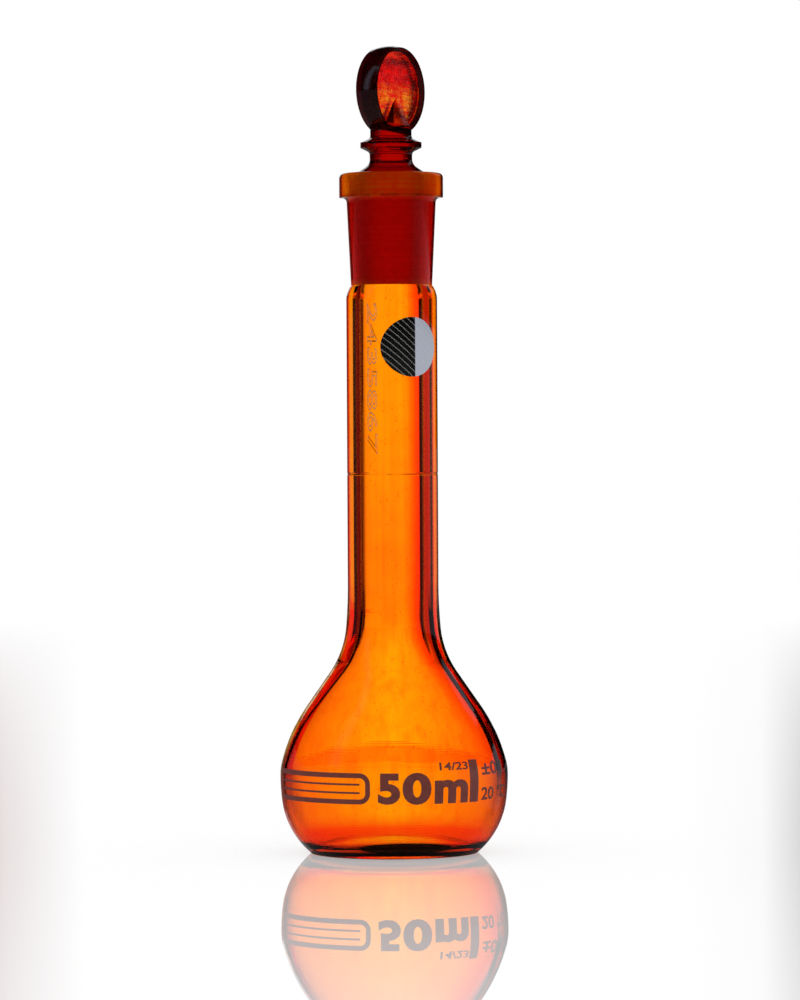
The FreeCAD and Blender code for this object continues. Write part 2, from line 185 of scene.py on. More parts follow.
table_paint, tree, output = new_material("glossy_white_table")
place = add(tree, "ShaderNodeTexCoord", out="Object")
from_foot = vectors(tree, "LENGTH", place, out="Value")
near = ramp(tree, from_foot, *MIRROR_FADE, 1.0, 0.0)
shine = add(tree, "ShaderNodeFresnel", {"IOR": TABLE_IOR})
close = ramp(tree, from_foot, *CLOSE_TO_FOOT, MIRROR_CLOSE, 1.0)
shine = times(tree, shine, close)
gain = times(tree, shine, MIRROR_GAIN)
mirror_share = times(tree, gain, near, use_clamp=True)
through = add(tree, "ShaderNodeLightPath", out="Is Transmission Ray")
white = mix_colour(tree, through, CLEAR, TABLE_THROUGH_GLASS)
white = mix_colour(tree, mirrored_ray(tree), white, TABLE_IN_GLOSS)
# Painted shadow: the table turns nearly black under the foot, where the hollow base lies in shade.
under = ramp(tree, from_foot, *UNDER_FOOT, 1.0, 0.0)
white = mix_colour(tree, under, white, TABLE_PAINTED_SHADOW)
lit = add(tree, "ShaderNodeBsdfDiffuse", [white])
strength = reckon(tree, "MULTIPLY_ADD", through, GLOW_THROUGH_GLASS, 1.0)
glow = add(tree, "ShaderNodeEmission", [white, strength])
lit = add(tree, "ShaderNodeMixShader", [TABLE_GLOW, lit, glow])
mirror = add(tree, "ShaderNodeBsdfGlossy", {"Color": CLEAR, "Roughness": MIRROR_ROUGHNESS})
surface = add(tree, "ShaderNodeMixShader", [mirror_share, lit, mirror])
tree.links.new(surface, output.inputs["Surface"])

half = TABLE_SIZE / 2
corners = [(-half, -half, 0), (half, -half, 0), (half, half, 0), (-half, half, 0)]
mesh = bpy.data.meshes.new("table")
mesh.from_pydata(corners, [], [(0, 1, 2, 3)])
table = new_piece("table", mesh, table_paint)
table.location.z = -TABLE_DROP

world = bpy.data.worlds.new("white_studio")
scene.world = world
world.use_nodes = True
tree = world.node_tree
tree.nodes.clear()
seen = add(tree, "ShaderNodeLightPath", out="Is Camera Ray")
sky = add(tree, "ShaderNodeBackground", {"Color": CLEAR, "Strength": seen})
tree.links.new(sky, add(tree, "ShaderNodeOutputWorld").inputs["Surface"])

lamp = bpy.data.lights.new("overhead", "SUN")
lamp.energy = math.pi
lamp.angle = math.pi
overhead = bpy.data.objects.new("overhead", lamp)
scene.collection.objects.link(overhead)
overhead.visible_glossy = False
overhead.visible_transmission = False

bpy.context.view_layer.update()
camera_place = camera.matrix_world.copy()
foot_seen = camera_place.inverted() @ Vector((0, 0, AIM_HEIGHT))


def wall(name, distance, foot, top, stops, mirrored=False):
    """A curved wall of light round the flask, seen either through glass or mirrored in it. Each
    stop gives an angle from straight behind the flask and the wall's colour there."""
    paint, tree, output = new_material(name)
    colour = add(tree, "ShaderNodeAttribute", out="Color", attribute_name="glow")
    tree.links.new(add(tree, "ShaderNodeEmission", [colour, 1.0]), output.inputs["Surface"])
    marks = np.radians([stop[0] for stop in stops])
    angles = np.linspace(marks[0], marks[-1], 2 + int((marks[-1] - marks[0]) / WALL_STEP))
    points = []
    for angle in angles:
        across = foot_seen.x + distance * math.sin(angle)
        back = foot_seen.z - distance * math.cos(angle)
        points += [(across, foot_seen.y - AIM_HEIGHT + level, back) for level in (foot, top)]
    faces = [(2 * i, 2 * i + 2, 2 * i + 3, 2 * i + 1) for i in range(len(angles) - 1)]
    mesh = bpy.data.meshes.new(name)
    mesh.from_pydata(points, [], faces)
    channels = [np.interp(angles, marks, [stop[1][i] for stop in stops]) for i in range(3)]
    colours = np.stack(channels + [np.ones(len(angles))], axis=1)
    glow = mesh.attributes.new("glow", "FLOAT_COLOR", "POINT")
    glow.data.foreach_set("color", np.repeat(colours, 2, axis=0).ravel())
    made = new_piece(name, mesh, paint)
    made.parent = camera
    made.visible_camera = False
    made.visible_diffuse = False
    made.visible_shadow = False
    made.visible_glossy = mirrored
    made.visible_transmission = not mirrored


def side_wall(name, start, end, foot, top, first, last=None):
    """A wall at the flask's side, from one angle to another, seen through the glass."""
    wall(name, SIDE_DISTANCE, foot, top, [(start, first), (end, last or first)])


wall("backdrop", BACK_DISTANCE, WALL_FOOT, SKY_TOP, [
    (-24, (1.0, 0.95, 1.3)), (-9, WHITE), (5, WHITE),
    (8, (1.15, 0.62, 0.8)), (13, (1.12, 0.26, 0.5)), (19, (1.05, 0.15, 0.4))])
wall("backdrop_foot", FOOT_DISTANCE, WALL_FOOT, LINE_TOP, [
    (-24, (1.12, 0.92, 0.95)), (19, (1.1, 0.45, 0.6))])
wall("backdrop_line", LINE_DISTANCE, LINE_FOOT, LINE_TOP, [
    (-24, (1.0, 0.62, 0.6)), (19, (0.95, 0.3, 0.4))])
side_wall("flag_right", 19, 35, WALL_FOOT, FLAG_TOP, BLACK)
side_wall("flag_left", -43, -24, WALL_FOOT, FLAG_TOP, BLACK)
side_wall("gleam_right", 19, 35, FLAG_TOP, GLEAM_TOP, GLEAM)
side_wall("gleam_left", -43, -24, FLAG_TOP, GLEAM_TOP, GLEAM)
side_wall("over_flag_right", 19, 35, GLEAM_TOP, WALL_TOP, DIM_RIGHT)
side_wall("over_flag_left", -43, -24, GLEAM_TOP, WALL_TOP, DIM_LEFT, DIM_RIGHT)
side_wall("side_wall_right", 35, 120, WALL_FOOT, WALL_TOP, DIM_RIGHT)
side_wall("side_wall_left", -98, -43, WALL_FOOT, WALL_TOP, DIM_LEFT)
side_wall("far_wall_left", -130, -98, WALL_FOOT, STRIP_FOOT, DIM_LEFT)
side_wall("strip_through_head", -130, -98, STRIP_FOOT, WALL_TOP, THROUGH_HEAD)
side_wall("front_light", 130, 230, FRONT_FOOT, WALL_TOP, FRONT_GLOW)
wall("mirrored_backdrop", FAR_DISTANCE, WALL_FOOT, SKY_FOOT, [
    (-30, SKIN_SHINE), (-9, SKIN_SHINE), (-7, PURE_WHITE), (7, PURE_WHITE), (9, BLACK), (19, BLACK)],
    mirrored=True)
wall("mirrored_sky", FAR_DISTANCE, SKY_FOOT, SKY_TOP, [
    (-23, (0.9, 0.95, 1.0)), (7, PURE_WHITE), (9, BLACK), (19, BLACK)], mirrored=True)
wall("softbox_right", SOFTBOX_DISTANCE, WALL_FOOT, SOFTBOX_TOP, [
    (42, SOFTBOX_RIGHT), (120, SOFTBOX_RIGHT)], mirrored=True)
wall("softbox_high", SOFTBOX_DISTANCE, HIGH_FOOT, SKY_TOP, [
    (36, SOFTBOX_HIGH), (54, SOFTBOX_HIGH), (60, BLACK)], mirrored=True)
wall("softbox_left", SOFTBOX_DISTANCE, WALL_FOOT, SOFTBOX_TOP, [
    (-120, SOFTBOX_LEFT), (-43, SOFTBOX_LEFT)], mirrored=True)
wall("strip_light", STRIP_DISTANCE, STRIP_LIGHT_FOOT, WALL_TOP, [
    (-126, BLACK), (-116, (0.8, 0.86, 1.0)), (-104, BLACK)], mirrored=True)


# Flask. Blown in one piece: bulb, neck and rim, with the cone in the mouth ground afterwards and
# a ring cut round the neck. The clear glass is stained amber on its outside, so light through
# both walls turns orange, and redder where it meets the skin at a slant.
PUSH_UP = 1.5
BOTTOM_WALL = 1.6
BEARING_RADIUS = 14.0
LIP_ROUND = 0.8
HEEL_ROUND = 0.8
LOWER_ROUND = 16.9
BELT_ROUND = 41.0
BELT_FOOT = 10.85
EQUATOR = 16.1
BULB_RADIUS = 23.45
CROWN_ROUND = 11.75
CROWN_TOP = 19.1
SHOULDER_ROUND = 36.0
FLANK = math.radians(34.7)
THROAT_ROUND = 19.3
LEAD_ROUND = 110.0
LEAD_LENGTH = 9.4
NECK_RADIUS = 9.35
BORE_RADIUS = 6.7
BULB_WALL = 1.02
INNER_CORNER = 5.0
MARK_HEIGHT = 78.0
MARK_WIDTH = 0.5
MARK_DEPTH = 0.08
FLASK_HEIGHT = 139.8
SOCKET_RADIUS = 7.25
SOCKET_LENGTH = 23.0
JOINT_TAPER = 0.05
BORE_RUN = 2.8
WAIST_RADIUS = 8.35
WAIST_ROUND = 5.0
COLLAR_RADIUS = 9.17
RIM_HEIGHT = 5.1
RIM_RADIUS = 10.69
RIM_ROUND = 0.9
RIM_EDGE = 0.25
UNDER_RIM_ROUND = 0.9
MOUTH_ROUND = 0.4
SHOULDER_EXTRA = 0.9
SHOULDER_EXTRA_SPAN = (17.0, 38.0, 58.0)
DRAWN_FROM = 50.0
MARK_LAND = 0.02
MARK_STEPS = 8
MARK_COLOURED = 0.2
RIM_LAND = 0.1
GROUND_FROM = 0.6
SEGMENTS = 208
SOFT_BEND = math.radians(32)
WALL_WAVER = 0.10
WAVER_SIZE = 9.0
WAVER_SEED = 3
WAVER_TOP = 62.0
WAVER_RAMP = 14.0
OUTER_WAVER = 0.4
GLASS_IOR = 1.47

# Colours of the stain, and of painted shade and painted light on the glass. A pair is the colour seen
# squarely and the colour seen aslant.
BULB_STAIN = ((1.0, 0.33, 0.001, 1), (0.95, 0.008, 0.001, 1))
NECK_STAIN = ((1.0, 0.275, 0.001, 1), (0.9, 0.010, 0.001, 1))
JOINT_STAIN = ((1.0, 0.012, 0.006, 1), (0.5, 0.012, 0.002, 1))
SLANT_POWER = (0.45, 1.5)
BRIM_STAIN = (0.9, 0.002, 0.001, 1)
REDDER_STAIN = (0.95, 0.02, 0.001, 1)
# Painted shade low on the bulb, where it stands in shadow.
BASE_PAINTED_SHADE = (0.85, 0.006, 0.001, 1)
# Painted light: the paler tone of the glass in its mirror image.
MIRRORED_PAINTED_LIGHT = (1.0, 0.75, 0.001, 1)
# Painted shade: the dark line inside the outline of the rim and the joint.
OUTERMOST_PAINTED_SHADE = (0.05, 0.001, 0.001, 1)
# The ring's brown line, also used as painted shade on the rim's corners.
RING_STAIN_AND_PAINTED_SHADE = (0.10, 0.006, 0.002, 1)
SKIN_TINT = (0.3, 0.12, 0.1, 1)
GROUND_RED = ((0.85, 0.03, 0.02, 1), (1.0, 0.12, 0.1, 1))
GROUND_BROWN = ((1.0, 0.36, 0.04, 1), (1.0, 0.8, 0.2, 1))
GROUND_TINT = (1.0, 0.35, 0.1, 1)

# Where the stain and the painted shade change: from, to, and how much there is at either end. Heights
# are millimetres.
HEEL = (3.0, 14.0, 0.03, 0.0)
BASE = (3.0, 6.2, 0.97, 0.0)
THROAT_FOOT = (42.0, 50.0, 0.0, 0.3)
THROAT_TOP = (62.0, 90.0, 1.0, 0.0)
LINES_FOOT = (10.0, 17.0, 0.0, 1.0)
LINES_TOP = (50.0, 57.0, 1.0, 0.0)
OUTERMOST = (0.45, 0.65, 1.0, 0.0)
BRIM = (0.12, 0.42, 0.85, 0.0)
STREAKY = (0.48, 0.7, 0.0, 0.3)
CLOUDY = (0.45, 0.72, 0.0, 0.2)
RING_GAPS = (0.46, 0.52, 0.25, 1.0)
GROUND_CLOUDS = (0.15, 0.40, 0.0, 1.0)
GROUND_BLEND = 0.6
GRIND_LINE = 0.5
GRIND_DEPTH = 0.05
GRIND_STRETCH = (0.04, 0.04, 1)
SPECK_SHARE = 0.8
MIRRORED_SHARE = 0.35

# Flaws. The first lines give the size of a glass's streaks, clouds and specks, in millimetres.
AMBER_FLAWS = (1.5, 4, 1.1)
GROUND_FLAWS = (2, 1.2, 0.8)
STREAK_STRETCH = (1, 1, 0.03)
SPECK_DOT = (0.10, 0.22, 1.0, 0.0)
SPECK_CHANCE = 0.6

# Painted light and shade along the bulb's outline: black and red lines that stand in for the dark
# flags and the light seen through the thick glass, and a grey painted reflection at the very left
# edge. Each gives its side (-1 left, 1 right), how much nearer the outline it lies where the glass is
# wider, its reach from the outline, and its colour.
RED_LINE = (0.75, 0.0012, 0.001, 1)
BLACK_LINE = (0.0003, 0.0001, 0.0001, 1)
GREY_LINE = (0.35, 0.33, 0.33, 1)
PAINTED_EDGE_LINES = (
    (-1, 0.0, -1.0, 0.45, GREY_LINE), (-1, 0.0, 0.5, 2.3, RED_LINE), (-1, 0.155, 4.2, 4.75, BLACK_LINE),
    (1, 0.0, -1.0, 0.65, BLACK_LINE), (1, 0.0, 0.7, 1.2, RED_LINE), (1, 0.0, 1.25, 2.3, BLACK_LINE))
LINE_BLUR = 0.1
# Painted shadow: a dark lens low on the bulb's front, where the hollow under the foot lies in shade.
LENS_PAINTED_SHADOW = (0.0004, 0.0001, 0.0001, 1)
LENS_PLACE = (2.3, 2.3)
LENS_SIZE = (11.0, 1.35)
LENS_FADE = (0.85, 1.1, 1.0, 0.0)


def polar(centre, radius, angle):
    return (centre[0] + radius * math.cos(angle), centre[1] + radius * math.sin(angle))


class Section:
    """Half the section of a turned piece, as points from the axis out and back to it."""

    def __init__(self):
        self.points = []
        self.marks = []

    def to(self, across, up, steps=1, **marks):
        """A straight run to a point, cut into steps."""
        start = self.points[-1] if self.points else (across, up)
        for step in range(1, steps + 1):
            share = step / steps
            here = (start[0] + (across - start[0]) * share, start[1] + (up - start[1]) * share)
            self.points.append(here)
            self.marks.append(marks)

    def arc(self, centre, radius, start, end, steps, **marks):
        """A round stretch between two angles, given in radians."""
        for step in range(steps + 1):
            angle = start + (end - start) * step / steps
            here = polar(centre, radius, angle)
            if not self.points or math.dist(self.points[-1], here) > 0.001:
                self.points.append(here)
                self.marks.append(marks)


def angle_of(centre, point):
    return math.atan2(point[1] - centre[1], point[0] - centre[0])


def meeting(centre_a, radius_a, centre_b, radius_b):
    """Where two circles cross, on the right of the way from the first centre to the second."""
    gap = math.dist(centre_a, centre_b)
    foot = (gap**2 + radius_a**2 - radius_b**2) / (2 * gap)
    side = math.sqrt(radius_a**2 - foot**2)
    away = ((centre_b[0] - centre_a[0]) / gap, (centre_b[1] - centre_a[1]) / gap)
    return (centre_a[0] + away[0] * foot + away[1] * side, centre_a[1] + away[1] * foot - away[0] * side)


def eased(share):
    """A share from 0 to 1 that starts and ends softly."""
    return share * share * (3 - 2 * share)


def bulb_side(depth, neck):
    """The tangent arcs of the bulb and the throat at a depth in the glass, from the foot up."""
    belt = BELT_ROUND - depth
    belt_centre = (BULB_RADIUS - BELT_ROUND, EQUATOR)
    belt_angle = -math.asin((EQUATOR - BELT_FOOT) / BELT_ROUND)
    lower = LOWER_ROUND - depth
    lower_centre = polar(polar(belt_centre, belt, belt_angle), -lower, belt_angle)
    crown = CROWN_ROUND - depth
    crown_centre = (BULB_RADIUS - CROWN_ROUND, EQUATOR)
    crown_angle = math.asin((CROWN_TOP - EQUATOR) / CROWN_ROUND)
    shoulder = SHOULDER_ROUND - depth
    shoulder_centre = polar(polar(crown_centre, crown, crown_angle), -shoulder, crown_angle)
    flank_foot = polar(shoulder_centre, shoulder, FLANK)
    throat = THROAT_ROUND + depth
    lead = LEAD_ROUND + depth
    lead_angle = math.asin(LEAD_LENGTH / lead)
    lead_foot = neck + lead * (1 - math.cos(lead_angle))
    throat_across = lead_foot + throat * math.cos(lead_angle)
    flank_top = throat_across - throat * math.cos(FLANK)
    throat_up = flank_foot[1] + (flank_foot[0] - flank_top) / math.tan(FLANK) + throat * math.sin(FLANK)
    throat_centre = (throat_across, throat_up)
    lead_centre = (neck + lead, throat_up - throat * math.sin(lead_angle) + LEAD_LENGTH)
    return {
        "lower": (lower_centre, lower),
        "arcs": [
            (belt_centre, belt, belt_angle, 0, 9),
            (crown_centre, crown, 0, crown_angle, 7),
            (shoulder_centre, shoulder, crown_angle, FLANK, 26),
            (throat_centre, throat, math.pi + FLANK, math.pi + lead_angle, 26),
            (lead_centre, lead, math.pi + lead_angle, math.pi, 12),
        ],
        "lower_end": belt_angle,
    }


outside = bulb_side(0, NECK_RADIUS)
inside = bulb_side(BULB_WALL, BORE_RADIUS)
dome_depth = (BEARING_RADIUS**2 - PUSH_UP**2 - 2 * PUSH_UP * LIP_ROUND) / (2 * PUSH_UP)
dome_centre = (0, -dome_depth)
dome_radius = dome_depth + PUSH_UP
lip_centre = (BEARING_RADIUS, LIP_ROUND)
dome_edge = angle_of(dome_centre, lip_centre)
lower_centre, lower = outside["lower"]
heel_across = math.sqrt((lower - HEEL_ROUND) ** 2 - (lower_centre[1] - HEEL_ROUND) ** 2)
heel_centre = (lower_centre[0] + heel_across, HEEL_ROUND)
heel_edge = angle_of(lower_centre, heel_centre)
waist_height = FLASK_HEIGHT - SOCKET_LENGTH
waist_drop = math.sqrt(WAIST_ROUND**2 - (WAIST_ROUND - NECK_RADIUS + WAIST_RADIUS) ** 2)
neck_top = waist_height - waist_drop
waist_centre = (NECK_RADIUS - WAIST_ROUND, neck_top)
rim_foot = FLASK_HEIGHT - RIM_HEIGHT
cone_foot = SOCKET_RADIUS - SOCKET_LENGTH * JOINT_TAPER
quarter = math.pi / 2

stained = dict(stain=1.0)
drawn = dict(stain=1.0, drawn=1.0)
joint = dict(stain=1.0, drawn=1.0, joint=1.0)
section = Section()
section.arc(dome_centre, dome_radius, quarter, dome_edge, 10, **stained)
section.arc(lip_centre, LIP_ROUND, dome_edge + math.pi, 3 * quarter, 5, **stained)
section.arc(heel_centre, HEEL_ROUND, -quarter, heel_edge, 6, **stained)
section.arc(lower_centre, lower, heel_edge, outside["lower_end"], 26, **stained)
for arc in outside["arcs"]:
    centre_height = arc[0][1]
    section.arc(*arc, **(drawn if centre_height > DRAWN_FROM else stained))
mark_foot = MARK_HEIGHT - MARK_WIDTH / 2
section.to(NECK_RADIUS, mark_foot - MARK_LAND, 10, **drawn)
section.to(NECK_RADIUS, mark_foot, **drawn)
for step in range(1, MARK_STEPS):
    share = step / MARK_STEPS
    deep = MARK_DEPTH * math.sin(math.pi * share) ** 0.5
    cut = dict(drawn, ring=1.0) if abs(share - 0.5) < MARK_COLOURED else drawn
    section.to(NECK_RADIUS - deep, mark_foot + MARK_WIDTH * share, **cut)
section.to(NECK_RADIUS, mark_foot + MARK_WIDTH, **drawn)
section.to(NECK_RADIUS, mark_foot + MARK_WIDTH + MARK_LAND, **drawn)
section.to(NECK_RADIUS, neck_top, 16, **drawn)
waist_end = angle_of(waist_centre, (WAIST_RADIUS, waist_height))
section.arc(waist_centre, WAIST_ROUND, 0, waist_end, 12, **drawn)
under_rim = (COLLAR_RADIUS + UNDER_RIM_ROUND, rim_foot - UNDER_RIM_ROUND)
section.to(COLLAR_RADIUS, under_rim[1], 14, **joint)
section.arc(under_rim, UNDER_RIM_ROUND, math.pi, quarter, 8, **joint)
# Painted shade: the rim's corners take part of the ring's dark colour, as dark lines along its edges.
corner = dict(drawn, ring=0.7)
edge_across = RIM_RADIUS - RIM_EDGE
section.to(edge_across - RIM_LAND, rim_foot, **drawn)
section.to(edge_across, rim_foot, **corner)
section.arc((edge_across, rim_foot + RIM_EDGE), RIM_EDGE, -quarter, 0, 6, **corner)
section.to(RIM_RADIUS, FLASK_HEIGHT - RIM_ROUND, 8, **drawn)
rim_centre = (RIM_RADIUS - RIM_ROUND, FLASK_HEIGHT - RIM_ROUND)
section.arc(rim_centre, RIM_ROUND, 0, quarter / 2, 5, **drawn)
section.arc(rim_centre, RIM_ROUND, quarter / 2, quarter, 5, **corner)
outer_points = len(section.points)

ground = dict(ground=1.0)
mouth_radius = SOCKET_RADIUS - MOUTH_ROUND * JOINT_TAPER
mouth_centre = (mouth_radius + MOUTH_ROUND, FLASK_HEIGHT - MOUTH_ROUND)
section.arc(mouth_centre, MOUTH_ROUND, quarter, math.pi, 6, **ground)
section.to(cone_foot, waist_height, 24, **ground)
section.to(BORE_RADIUS, waist_height - BORE_RUN, 4)
section.to(BORE_RADIUS, inside["arcs"][-1][0][1], 30)
for centre, radius, start, end, steps in reversed(inside["arcs"]):
    section.arc(centre, radius, end, start, steps)
lower_centre, lower = inside["lower"]
floor_radius = dome_radius + BOTTOM_WALL
corner_centre = meeting(dome_centre, floor_radius + INNER_CORNER, lower_centre, lower - INNER_CORNER)
corner_start = angle_of(lower_centre, corner_centre)
floor_edge = angle_of(dome_centre, corner_centre)
section.arc(lower_centre, lower, inside["lower_end"], corner_start, 24)
section.arc(corner_centre, INNER_CORNER, corner_start, floor_edge - math.pi, 14)
section.arc(dome_centre, floor_radius, floor_edge, quarter, 10)
for place, (across, up) in enumerate(section.points):
    if place > outer_points:
        extra = SHOULDER_EXTRA * eased(np.interp(up, SHOULDER_EXTRA_SPAN, (0, 1, 0)))
        section.points[place] = (across - extra, up)
    calm = min(1.0, max(0.0, (WAVER_TOP - up) / WAVER_RAMP))
    lift = 1.0 if place > outer_points else OUTER_WAVER * min(1.0, up / WAVER_RAMP)
    section.marks[place] = dict(section.marks[place], waver=lift * eased(calm))

MARKS = ("stain", "drawn", "joint", "ground", "ring", "waver")


def turning_tree():
    """Geometry Nodes that turn a section round the upright axis, with a wavering wall."""
    tree = bpy.data.node_groups.new("turned_glass", "GeometryNodeTree")
    face = tree.interface
    for name, kind in (
            ("Section", "Geometry"), ("Segments", "Int"), ("Waver", "Float"), ("Waver Size", "Float"),
            ("Seed", "Int"), ("Material", "Material"), ("Ground Material", "Material")):
        face.new_socket(name, in_out="INPUT", socket_type="NodeSocket" + kind)
    face.new_socket("Piece", in_out="OUTPUT", socket_type="NodeSocketGeometry")
    given = tree.nodes.new("NodeGroupInput").outputs
    rows = add(tree, "GeometryNodeAttributeDomainSize", [given["Section"]], out="Point Count",
               component="MESH")
    columns = add(tree, "FunctionNodeIntegerMath", [given["Segments"], 1], operation="ADD")
    sheet = add(tree, "GeometryNodeMeshGrid", [1.0, 1.0, rows, columns])
    index = add(tree, "GeometryNodeInputIndex")
    row = add(tree, "FunctionNodeIntegerMath", [index, columns], operation="DIVIDE_FLOOR")
    column = add(tree, "FunctionNodeIntegerMath", [index, columns], operation="MODULO")
    share = reckon(tree, "DIVIDE", column, given["Segments"])
    angle = times(tree, share, 2 * math.pi)
    ways = [reckon(tree, how, angle) for how in ("COSINE", "SINE")]
    away = add(tree, "ShaderNodeCombineXYZ", ways)

    def along_section(value, data_type):
        """A value of the section's points, read at each row."""
        wanted = {"Geometry": given["Section"], "Value": value, "Index": row}
        return add(tree, "GeometryNodeSampleIndex", wanted, data_type=data_type, domain="POINT")

    point = along_section(add(tree, "GeometryNodeInputPosition"), "FLOAT_VECTOR")
    split = add(tree, "ShaderNodeSeparateXYZ", [point]).node.outputs
    outward = add(tree, "ShaderNodeVectorMath", {0: away, "Scale": split["X"]}, operation="SCALE")
    upward = add(tree, "ShaderNodeCombineXYZ", {"Z": split["Z"]})
    turned = vectors(tree, "ADD", outward, upward)
    scale = reckon(tree, "DIVIDE", 1.0, given["Waver Size"])
    noise = add(tree, "ShaderNodeTexNoise", {
        "Vector": turned, "W": given["Seed"], "Scale": scale, "Detail": 1.0}, noise_dimensions="4D")
    geometry = sheet
    for kind in MARKS:
        value = add(tree, "GeometryNodeInputNamedAttribute", [kind], data_type="FLOAT")
        value = along_section(value, "FLOAT")
        geometry = add(tree, "GeometryNodeStoreNamedAttribute", {
            "Geometry": geometry, "Name": kind, "Value": value}, data_type="FLOAT", domain="POINT")
        if kind == "waver":
            wavering = times(tree, value, given["Waver"])
    inward = times(tree, noise, wavering)
    inward = times(tree, inward, -MM)
    shift = add(tree, "ShaderNodeVectorMath", {0: away, "Scale": inward}, operation="SCALE")
    geometry = add(tree, "GeometryNodeSetPosition", {
        "Geometry": geometry, "Position": turned, "Offset": shift})
    geometry = add(tree, "GeometryNodeMergeByDistance", {"Geometry": geometry, "Distance": 1e-6})
    geometry = add(tree, "GeometryNodeFlipFaces", [geometry])
    bend = add(tree, "GeometryNodeInputMeshEdgeAngle", out="Unsigned Angle")
    soft = add(tree, "FunctionNodeCompare", [bend, SOFT_BEND], data_type="FLOAT", operation="LESS_THAN")
    geometry = add(tree, "GeometryNodeSetShadeSmooth", {
        0: geometry, "Shade Smooth": soft}, domain="EDGE")
    geometry = add(tree, "GeometryNodeRealizeInstances", [geometry])
    geometry = add(tree, "GeometryNodeSetMaterial", {
        "Geometry": geometry, "Material": given["Material"]})
    value = add(tree, "GeometryNodeInputNamedAttribute", ["ground"], data_type="FLOAT")
    chosen = add(tree, "FunctionNodeCompare", [value, GROUND_FROM], data_type="FLOAT",
                 operation="GREATER_THAN")
    geometry = add(tree, "GeometryNodeSetMaterial", {
        "Geometry": geometry, "Selection": chosen, "Material": given["Ground Material"]})
    add(tree, "NodeGroupOutput", [geometry])
    return tree


turned_glass = turning_tree()


def shaped(piece):
    """The mesh of a piece as its modifiers leave it."""
    graph = bpy.context.evaluated_depsgraph_get()
    return bpy.data.meshes.new_from_object(piece.evaluated_get(graph), depsgraph=graph)


def turn(name, section, material, ground=None, waver=0.0, seed=0):
    """Turn a section, given in millimetres, into a closed mesh in metres."""
    mesh = bpy.data.meshes.new(name + "_section")
    points = [(across * MM, 0, up * MM) for across, up in section.points]
    mesh.from_pydata(points, [(i, i + 1) for i in range(len(points) - 1)], [])
    for kind in MARKS:
        values = mesh.attributes.new(kind, "FLOAT", "POINT")
        values.data.foreach_set("value", [marks.get(kind, 0.0) for marks in section.marks])
    maker = new_piece(name + "_section", mesh)
    modifier = maker.modifiers.new("turn", "NODES")
    modifier.node_group = turned_glass
    sockets = {s.name: s.identifier for s in turned_glass.interface.items_tree if s.in_out == "INPUT"}
    modifier[sockets["Segments"]] = SEGMENTS
    modifier[sockets["Waver"]] = waver
    modifier[sockets["Waver Size"]] = WAVER_SIZE * MM
    modifier[sockets["Seed"]] = seed
    modifier[sockets["Material"]] = material
    modifier[sockets["Ground Material"]] = ground or material
    maker.update_tag()
    made = shaped(maker)
    made.name = name
    bpy.data.objects.remove(maker)
    return made


def glass_flaws_group():
    """What glass shows up close: streaks along the draw, cloudy stain, and specks, as 0 to 1."""
    group = bpy.data.node_groups.new("glass_flaws", "ShaderNodeTree")
    face = group.interface
    for name in ("Streak Size", "Cloud Size", "Speck Size"):
        face.new_socket(name, in_out="INPUT", socket_type="NodeSocketFloat")
    for name in ("Streaks", "Clouds", "Specks"):
        face.new_socket(name, in_out="OUTPUT", socket_type="NodeSocketFloat")
    given = group.nodes.new("NodeGroupInput").outputs
    place = add(group, "ShaderNodeTexCoord", out="Object")
    drawn_out = add(group, "ShaderNodeMapping", {"Vector": place, "Scale": STREAK_STRETCH})
    results = []
    for name, vector, detail in (("Streak Size", drawn_out, 2.0), ("Cloud Size", place, 3.0)):
        scale = reckon(group, "DIVIDE", 1.0, given[name])
        wanted = {"Vector": vector, "Scale": scale, "Detail": detail}
        results.append(add(group, "ShaderNodeTexNoise", wanted))
    scale = reckon(group, "DIVIDE", 1.0, given["Speck Size"])
    cells = add(group, "ShaderNodeTexVoronoi", {"Vector": place, "Scale": scale}).node.outputs
    dot = ramp(group, cells["Distance"], *SPECK_DOT)
    chance = add(group, "ShaderNodeSeparateColor", [cells["Color"]])
    rare = reckon(group, "GREATER_THAN", chance, SPECK_CHANCE)
    results.append(times(group, dot, rare))
    add(group, "NodeGroupOutput", results)
    return group


glass_flaws = glass_flaws_group()


def mark(tree, name):
    return add(tree, "ShaderNodeAttribute", out="Fac", attribute_name=name)


def part_of(tree, vector, axis="Z"):
    return add(tree, "ShaderNodeSeparateXYZ", [vector], out=axis)


def flaws_in(tree, streak, cloud, speck):
    """The flaws of one glass by name, with their sizes in millimetres."""
    flaws = add(tree, "ShaderNodeGroup", node_tree=glass_flaws).node
    for name, size in (("Streak Size", streak), ("Cloud Size", cloud), ("Speck Size", speck)):
        flaws.inputs[name].default_value = size * MM
    return flaws.outputs


def over_span(tree, value, start, end, first, last):
    """A ramp along a length that is given in millimetres."""
    return ramp(tree, value, start * MM, end * MM, first, last)


def grain_of(tree, vector, size, **more):
    """An uneven pattern with patches of a size in millimetres."""
    wanted = {"Vector": vector, "Scale": 1 / (size * MM), "Detail": 3.0, **more}
    return add(tree, "ShaderNodeTexNoise", wanted)


def level_view(tree):
    """What is seen, the level way to the eye, and how squarely the side faces it, as 0 to 1."""
    seen = add(tree, "ShaderNodeNewGeometry").node.outputs
    ways = [vectors(tree, "MULTIPLY", seen[name], (1, 1, 0)) for name in ("Normal", "Incoming")]
    outward, to_eye = [vectors(tree, "NORMALIZE", way) for way in ways]
    facing = vectors(tree, "DOT_PRODUCT", outward, to_eye, out="Value")
    return seen, to_eye, reckon(tree, "ABSOLUTE", facing)


